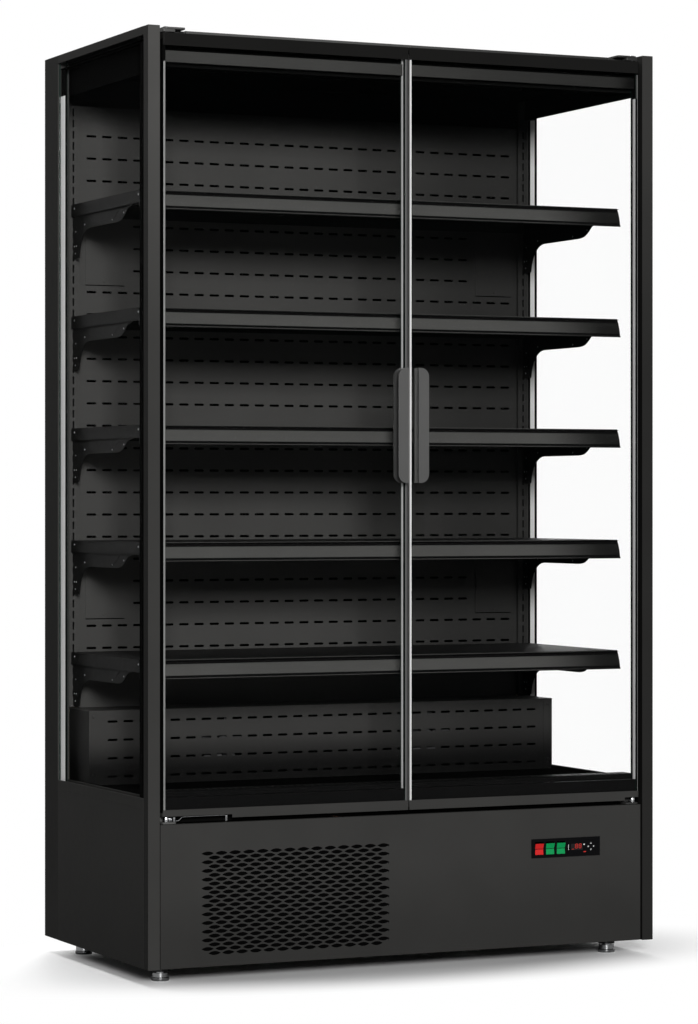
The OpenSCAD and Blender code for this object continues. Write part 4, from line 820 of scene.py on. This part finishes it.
def door_edges(side, hand):
    """Edge profiles of a door's double glazing with their dark seals, the glazing bar at its top, the fired
    band at its foot and the drip lip. The near-white profiles paint in a reflection of the white room, and
    one dark bar on the right door is a painted shadow. All is drawn on the right; what the left door carries
    is flipped."""
    def bar(x0, x1, y0, y1, radius=0.5, z0=324.8, z1=1930.2):
        return Shape().prism(rounded(rectangle(x0, x1, y0, y1), radius, 2), z0, z1, along_z)

    # The same aluminium profiles are near-white on one door and dull on the other: near-white is a painted
    # reflection. The right door's first dark bar is a painted shadow beside its hinge bar.
    if side > 0:
        inner, bar_top, lip_end = 562.0, 1862, 530
        bright = [bar(inner, 563.6, 11.2, 24, z1=bar_top), bar(5.0, 7.5, 4.2, 13)]
        dull = [bar(562.8, 563.6, 4.2, 11, 0.2, z1=1914)]
        dark = [bar(inner, 562.7, 4.4, 11, 0.2, z1=bar_top), bar(inner, 562.7, 11.2, 24, z0=bar_top + 0.2),
                bar(7.6, 8.1, 4.4, 13, 0.2), bar(1.6, 7.8, 13.4, 29)]
        grey = []
    else:
        inner, bar_top, lip_end = 559.6, 1884, 410
        bright = [bar(4.4, 7.4, 14.5, 25.5)]
        dull = [bar(inner, 563.6, 4.2, 24, z1=bar_top), bar(565.2, 565.9, 7.2, 8.8, 0.3, z1=1914)]
        dark = [bar(inner, 563.6, 4.2, 24, z0=bar_top + 0.2), bar(4.4, 7.9, 4.6, 14.3),
                bar(1.6, 4.2, 6.2, 29)]
        grey = [bar(1.6, 7.6, 4.0, 6.0)]
    dark += [bar(563.7, 565.9, 4.6, 29), bar(inner, 563.6, 24.2, 29)]
    lip = rounded([(2.0, 317.0), (4.6, 317.0), (4.6, 316.2), (3.2, 315.6), (3.2, 309.8), (2.0, 309.8)],
                  [0, 0, 0, 0.5, 0.5, 0.8])
    top = rounded([(16, 1884), (25, 1884), (25, 1908), (16, 1908)], 1)
    band = [(8.1, 324.6), (24.9, 324.6), (24.9, 355.6), (8.1, 355.6)]
    body = "door_" + hand
    for shapes, name, slot, finish in (
            (bright, "meeting_profile", "spacer_silver", foil_with_painted_reflection),
            (dull, "hinge_profiles", "spacer_silver", dull_bar),
            (dark, "dark_edge_bars", "seal_rubber", seal_and_shade_black),
            ([Shape().prism(lip, 1.6, lip_end, along_x)], "drip_lip", "black_paint", door_paint),
            (grey, "meeting_strip", "handle_aluminium", grey_bar),
            ([Shape().prism(top, 8.2, inner - 0.2, along_x)], "glazing_bar", "rail_grey", bar_paint),
            ([Shape().prism(band, 8.2, inner - 0.2, along_x)], "fired_band", "bezel_black", frit_and_shade_black)):
        if shapes:
            shape = Shape().join(*shapes)
            if side < 0:
                shape.flipped()
            shape.make(f"{body}_{name}", body, slot, [body + "_spacer"], finish=finish)


hinges()
for side, hand in SIDES:
    door_edges(side, hand)


# Shelves

def price_rail(number, top):
    """Sloping rail: a channel with a label strip between two lips, a groove beside each lip, and end caps."""
    body, node = f"shelf_{number}", f"price_rail_{number}"
    half, inner_half = 574.5, 572.6

    def front(share, out=0.0):
        """A point of the rail's curved front, from its top to its foot; out lifts it off the curve."""
        rest = 1 - share
        return (rest * rest * 117.0 + 2 * rest * share * 106 + share * share * 101.5 - out,
                top - 28 * rest * share - 41.5 * share * share)

    face = [front(0.0, -0.4), front(0.0, 1.0), front(0.04, 1.5), front(0.08, 1.0), front(0.1, -0.6),
            front(0.3, -0.6)]
    face += [front(0.3 + 0.055 * step, -0.3) for step in range(11)]
    face += [front(0.88, -0.8), front(0.93, -0.8), front(0.945, 1.0), front(0.97, 1.5), front(1.0, 1.0),
             front(1.0, -1.2)]
    back = [(u + 1.6, v) for u, v in (front(1 - 0.1 * step) for step in range(10))]
    rail = Shape().prism(face + back, -half, half, along_x)
    shares = [0.31 + 0.06 * step for step in range(10)]
    label = [front(share, 0.4 + 0.5 * math.sin(math.pi * step / 9)) for step, share in enumerate(shares)]
    label += [(u + 1.0, v) for u, v in (front(share) for share in reversed(shares))]
    strip = Shape().prism(label, -inner_half, inner_half, along_x)
    strip.make(node + "_label_strip", body, "rail_grey", [node])
    lips = Shape()
    for share in (0.03, 0.965):
        lips.tube([(x, *front(share, 1.25)) for x in (-inner_half, 0, inner_half)], 0.7, 8)
    lips.make(node + "_lips", body, "rail_grey", [node], finish=rail_paint)
    for drop in (1.8, 20.6):
        rail.block(-574, 574, 108.6, 117.8, top - drop - 1.2, top - drop)
    # near-black channel: partly painted shade in the grooves beside the lips
    rail.make(node + "_channel", body, "rail_grey", [node], finish=frit_and_shade_black)
    cap = [front(share, 0.9) for share in (0.02, 0.3, 0.65, 0.99)] + [(117.6, top - 39), (117.6, top - 1)]
    caps = Shape().prism(rounded(cap, [1, 0, 0, 1.5, 1.5, 1]), 572.9, 574.4, along_x).mirrored()
    caps.make(node + "_end_caps", body, "bezel_black", edge=0.3)


def shelf(number, top):
    """Folded tray with stiffeners on two hooked brackets, with rivets."""
    node = f"shelf_{number}"
    front, rear, low, half = 118, 540, top - 27, 570
    fold = [(front, low), (front, top), (rear, top), (rear, low), (rear - 1, low), (rear - 1, top - 1),
            (front + 1, top - 1), (front + 1, top - 26), (128, top - 26), (128, low)]
    tray = Shape().prism(rounded(fold, [1.2, 2, 2, 0, 0, 1, 1, 0.4, 0, 0]), -half, half, along_x)
    end = rounded([(118.5, low), (118.5, top - 0.8), (539.5, top - 0.8), (539.5, low)], 1.5)
    for side in (-1, 1):
        tray.prism(end, side * half, side * (half - 1), along_x)
    for depth in range(190, 479, 72):
        tray.block(-500, 500, depth - 5, depth + 5, top - 3, top - 1)
    tray.make(node + "_tray", node, "black_paint", [node], finish=tray_paint)

    inner, outer, wall, foot = 561.9, 564.1, 544.7, top - 119
    arm = [(180, low), (180, top - 1), (539, top - 1), (539, low), (wall, low), (wall, foot), (506, foot)]
    arm += [(440 + 66 * math.sin(turn), top - 123 + 66 * math.cos(turn))
            for turn in (math.radians(84 - 10.5 * step) for step in range(9))]
    arm += [(268, top - 57), (246, top - 54), (226, top - 44), (212, top - 33)]
    radii = [1, 0, 0, 0, 0, 3, 3] + [0] * 9 + [14, 8, 8, 10]
    bracket = Shape().prism(rounded(arm, radii, 3), inner, outer, along_x)
    pressing = [(254, top - 30), (440, top - 30), (440, top - 52), (296, top - 51)]
    bracket.prism(rounded(pressing, 4), outer, outer + 0.7, along_x)
    pressing = [(516, top - 40), (534, top - 40), (534, top - 108), (516, top - 100)]
    bracket.prism(rounded(pressing, 5), inner - 0.7, inner, along_x)
    for hook in (top - 50, top - 99.5):
        bracket.prism(rectangle(543.7, 548.4, hook, hook + 8), inner, outer, along_x)
        claw = [(547.3, hook - 6), (548.5, hook - 6), (548.5, hook + 8), (547.3, hook + 8)]
        bracket.prism(rounded(claw, [0.5, 0.5, 1, 0]), inner, outer, along_x)
    bracket.mirrored().make(node + "_brackets", node, "black_paint", [node], edge=0.25, finish=bracket_paint)

    rivets, rivet = Shape(), ((1.9, -0.05), (1.8, 0.5), (1.1, 0.9), (0, 1.0))
    for depth, drop in ((232, 40), (300, 50), (470, 48), (524, 92), (536, 92), (530, 108), (527, 60)):
        for face, out in ((inner, -1), (outer, 1)):
            head = [(radius, face + rise * out) for radius, rise in rivet]
            rivets.turned(head, depth, top - drop, along_x, 12)
    for depth in (131, 520):
        rivets.turned([(2.4, 569.9), (2.3, 570.6), (1.4, 571.1), (0, 571.2)], depth, top - 9.6, along_x, 16)
    rivets.mirrored().make(node + "_rivets", node, "hinge_steel", finish=zinc)


SHELVES, LOWEST_SHELF, SHELF_PITCH = 5, 637, 247.5
for number in range(1, SHELVES + 1):
    height = LOWEST_SHELF + SHELF_PITCH * (number - 1)
    shelf(number, height)
    price_rail(number, height)


# Controls

def segment_digit(x, z, width, height):
    """An eight out of seven segments, leaning a little."""
    thick, half, reach = height * 0.16, width / 2, height / 2
    tip, trim = thick / 2, thick * 0.15
    level = [(-half, half, reach), (-half, half, 0), (-half, half, -reach)]
    upright = [(0, reach, -half), (0, reach, half), (-reach, 0, -half), (-reach, 0, half)]
    made = Shape()
    for bars, turned in ((level, False), (upright, True)):
        for start, end, line in bars:
            start, end = start + trim, end - trim
            outline = [(start, line), (start + tip, line - tip), (end - tip, line - tip), (end, line),
                       (end - tip, line + tip), (start + tip, line + tip)]
            outline = [(v, u) if turned else (u, v) for u, v in outline]
            made.prism([(x + u + v * 0.08, z + v) for u, v in outline], 0.9, 1.2, along_y)
    return made


def key_body(node):
    """Name of the body that a node rides on."""
    return next(body for body, held in frame["record"]["behaviour"]["bodies"].items() if node in held)


def controls():
    """Marks on the thermostat: display, a painted highlight along its left edge, printed signs, and an arrow
    on each key.
    """
    window = Shape().prism(rounded(rectangle(394.2, 423.8, 206.7, 220.3), 1), 1.2, 1.29, along_y)
    window.make("display_window", "cabinet", "bezel_black", finish=smoked)
    digits = Shape().join(*(segment_digit(x, 215.0, 5.4, 9.0) for x in (407.8, 417.0)))
    for x in (397.5, 400.5):
        digits.turned([(0.9, 1.2), (0.9, 1.0), (0, 0.9)], x, 208.6, along_y, 12)
    digits.make("display_digits", "cabinet", "switch_red", finish=red_glow)
    # white arc along the thermostat's rounded left edge: a painted highlight
    turns = [math.radians(-75 + 15 * step) for step in range(11)]
    path = [(387.4 + 1.6 * (1 - math.cos(turn)), 0.35, 213.5 + 6.2 * math.sin(turn)) for turn in turns]
    Shape().tube(path, 0.55, 8).make("thermostat_edge_highlight", "cabinet", "key_white")
    face = (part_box("thermostat")[0].y - post_low.y) / MM
    for name, outline, slot, finish in (
            ("thermostat_print", rectangle(424.8, 428.4, 216.6, 219.4), "key_white", None),
            ("alarm_marks", rectangle(425.0, 431.5, 201.0, 203.2), "switch_red", red_glow)):
        mark = Shape().prism(rounded(outline, 0.8), face - 0.1, face + 0.05, along_y)
        mark.make(name, "cabinet", slot, finish=finish)
    for name, along, up in (("key_left", -1, 0), ("key_right", 1, 0), ("key_up", 0, 1), ("key_down", 0, -1)):
        low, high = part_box(name)
        x, z = (low.x + high.x) / 2 / MM, ((low.z + high.z) / 2 - post_low.z) / MM
        y = (low.y - post_low.y) / MM
        tip, side, tail = 1.8, 1.6, 1.8 * 0.7
        arrow = [(x + along * tip, z + up * tip),
                 (x - along * tail + up * side, z - up * tail + along * side),
                 (x - along * tail - up * side, z - up * tail - along * side)]
        mark = Shape().prism(rounded(arrow, 0.4), y - 0.12, y + 0.05, along_y)
        mark.make(name + "_mark", key_body(name), "key_white")


controls()


# Floor, world and lamps

def floor_finish():
    """Pale floor that takes the shadow, and goes over to plain white around the cabinet."""
    floor = Finish("pale_floor", (0.9, 0.9, 0.9), 0.6, Specular_IOR_Level=0.1)
    away = floor.node("ShaderNodeVectorMath", {"operation": "LENGTH"},
                      {"Vector": floor.coordinates((0.5, 1, 1))}, output="Value")
    seen = floor.ray("Is Camera Ray", "Is Transmission Ray")
    floor.set("Base Color", floor.blend(seen, (0.18, 0.18, 0.18), (0.95, 0.95, 0.95)))
    lit = Wire(floor, floor.shader.outputs[0])
    glow = floor.node("ShaderNodeEmission", None, {"Color": (1, 1, 1, 1), "Strength": 1.0})
    share = floor.ramp(away, 0.31, 0.56) * seen
    mixed = floor.node("ShaderNodeMixShader", None, {0: share, 1: lit, 2: glow})
    floor.feed(floor.out.inputs["Surface"], mixed)
    return floor.material


def floor_disc(radius):
    mesh = bpy.data.meshes.new("floor")
    ring = [(radius * x, radius * y, 0) for x, y in unit_circle(96)]
    mesh.from_pydata(ring, [], [range(len(ring))])
    mesh.materials.append(floor_finish())
    disc = bpy.data.objects.new("floor", mesh)
    bpy.context.scene.collection.objects.link(disc)


def world_light(diffuse, glossy):
    """White to the eye, and two dimmer levels for lighting and for reflections."""
    world = bpy.data.worlds.new("studio")
    bpy.context.scene.world = world
    sky = Shading(world)
    lighting, shine, white = (
        sky.node("ShaderNodeBackground", None, {"Color": (1, 1, 1, 1), "Strength": strength})
        for strength in (diffuse, glossy, 1.0))
    unseen = sky.node("ShaderNodeMixShader", None, {0: sky.ray("Is Glossy Ray"), 1: lighting, 2: shine})
    seen = sky.ray("Is Camera Ray", "Is Transmission Ray")
    mixed = sky.node("ShaderNodeMixShader", None, {0: seen, 1: unseen, 2: white})
    sky.add("ShaderNodeOutputWorld", None, {"Surface": mixed})


def soft_box(name, where, aim, width, height, power):
    lamp = bpy.data.lights.new(name, "AREA")
    lamp.shape, lamp.size, lamp.size_y, lamp.energy = "RECTANGLE", width, height, power
    held = bpy.data.objects.new(name, lamp)
    bpy.context.scene.collection.objects.link(held)
    held.location = where
    held.rotation_euler = (Vector(aim) - Vector(where)).to_track_quat("-Z", "Y").to_euler()
    held.visible_camera = False


floor_disc(60)
world_light(0.1, 0.5)
soft_box("front_lamp", (-4.1, -11.3, 3.6), (0, 0, 1.0), 2.6, 2.0, 1350)
soft_box("top_lamp", (-0.3, 1.2, 4.5), (0, 0, 0), 3.0, 3.0, 240)
soft_box("back_lamp", (1.5, 4.0, 2.4), (0, 0, 1.0), 2.0, 2.0, 60)
bpy.context.scene.view_settings.view_transform = "Standard"
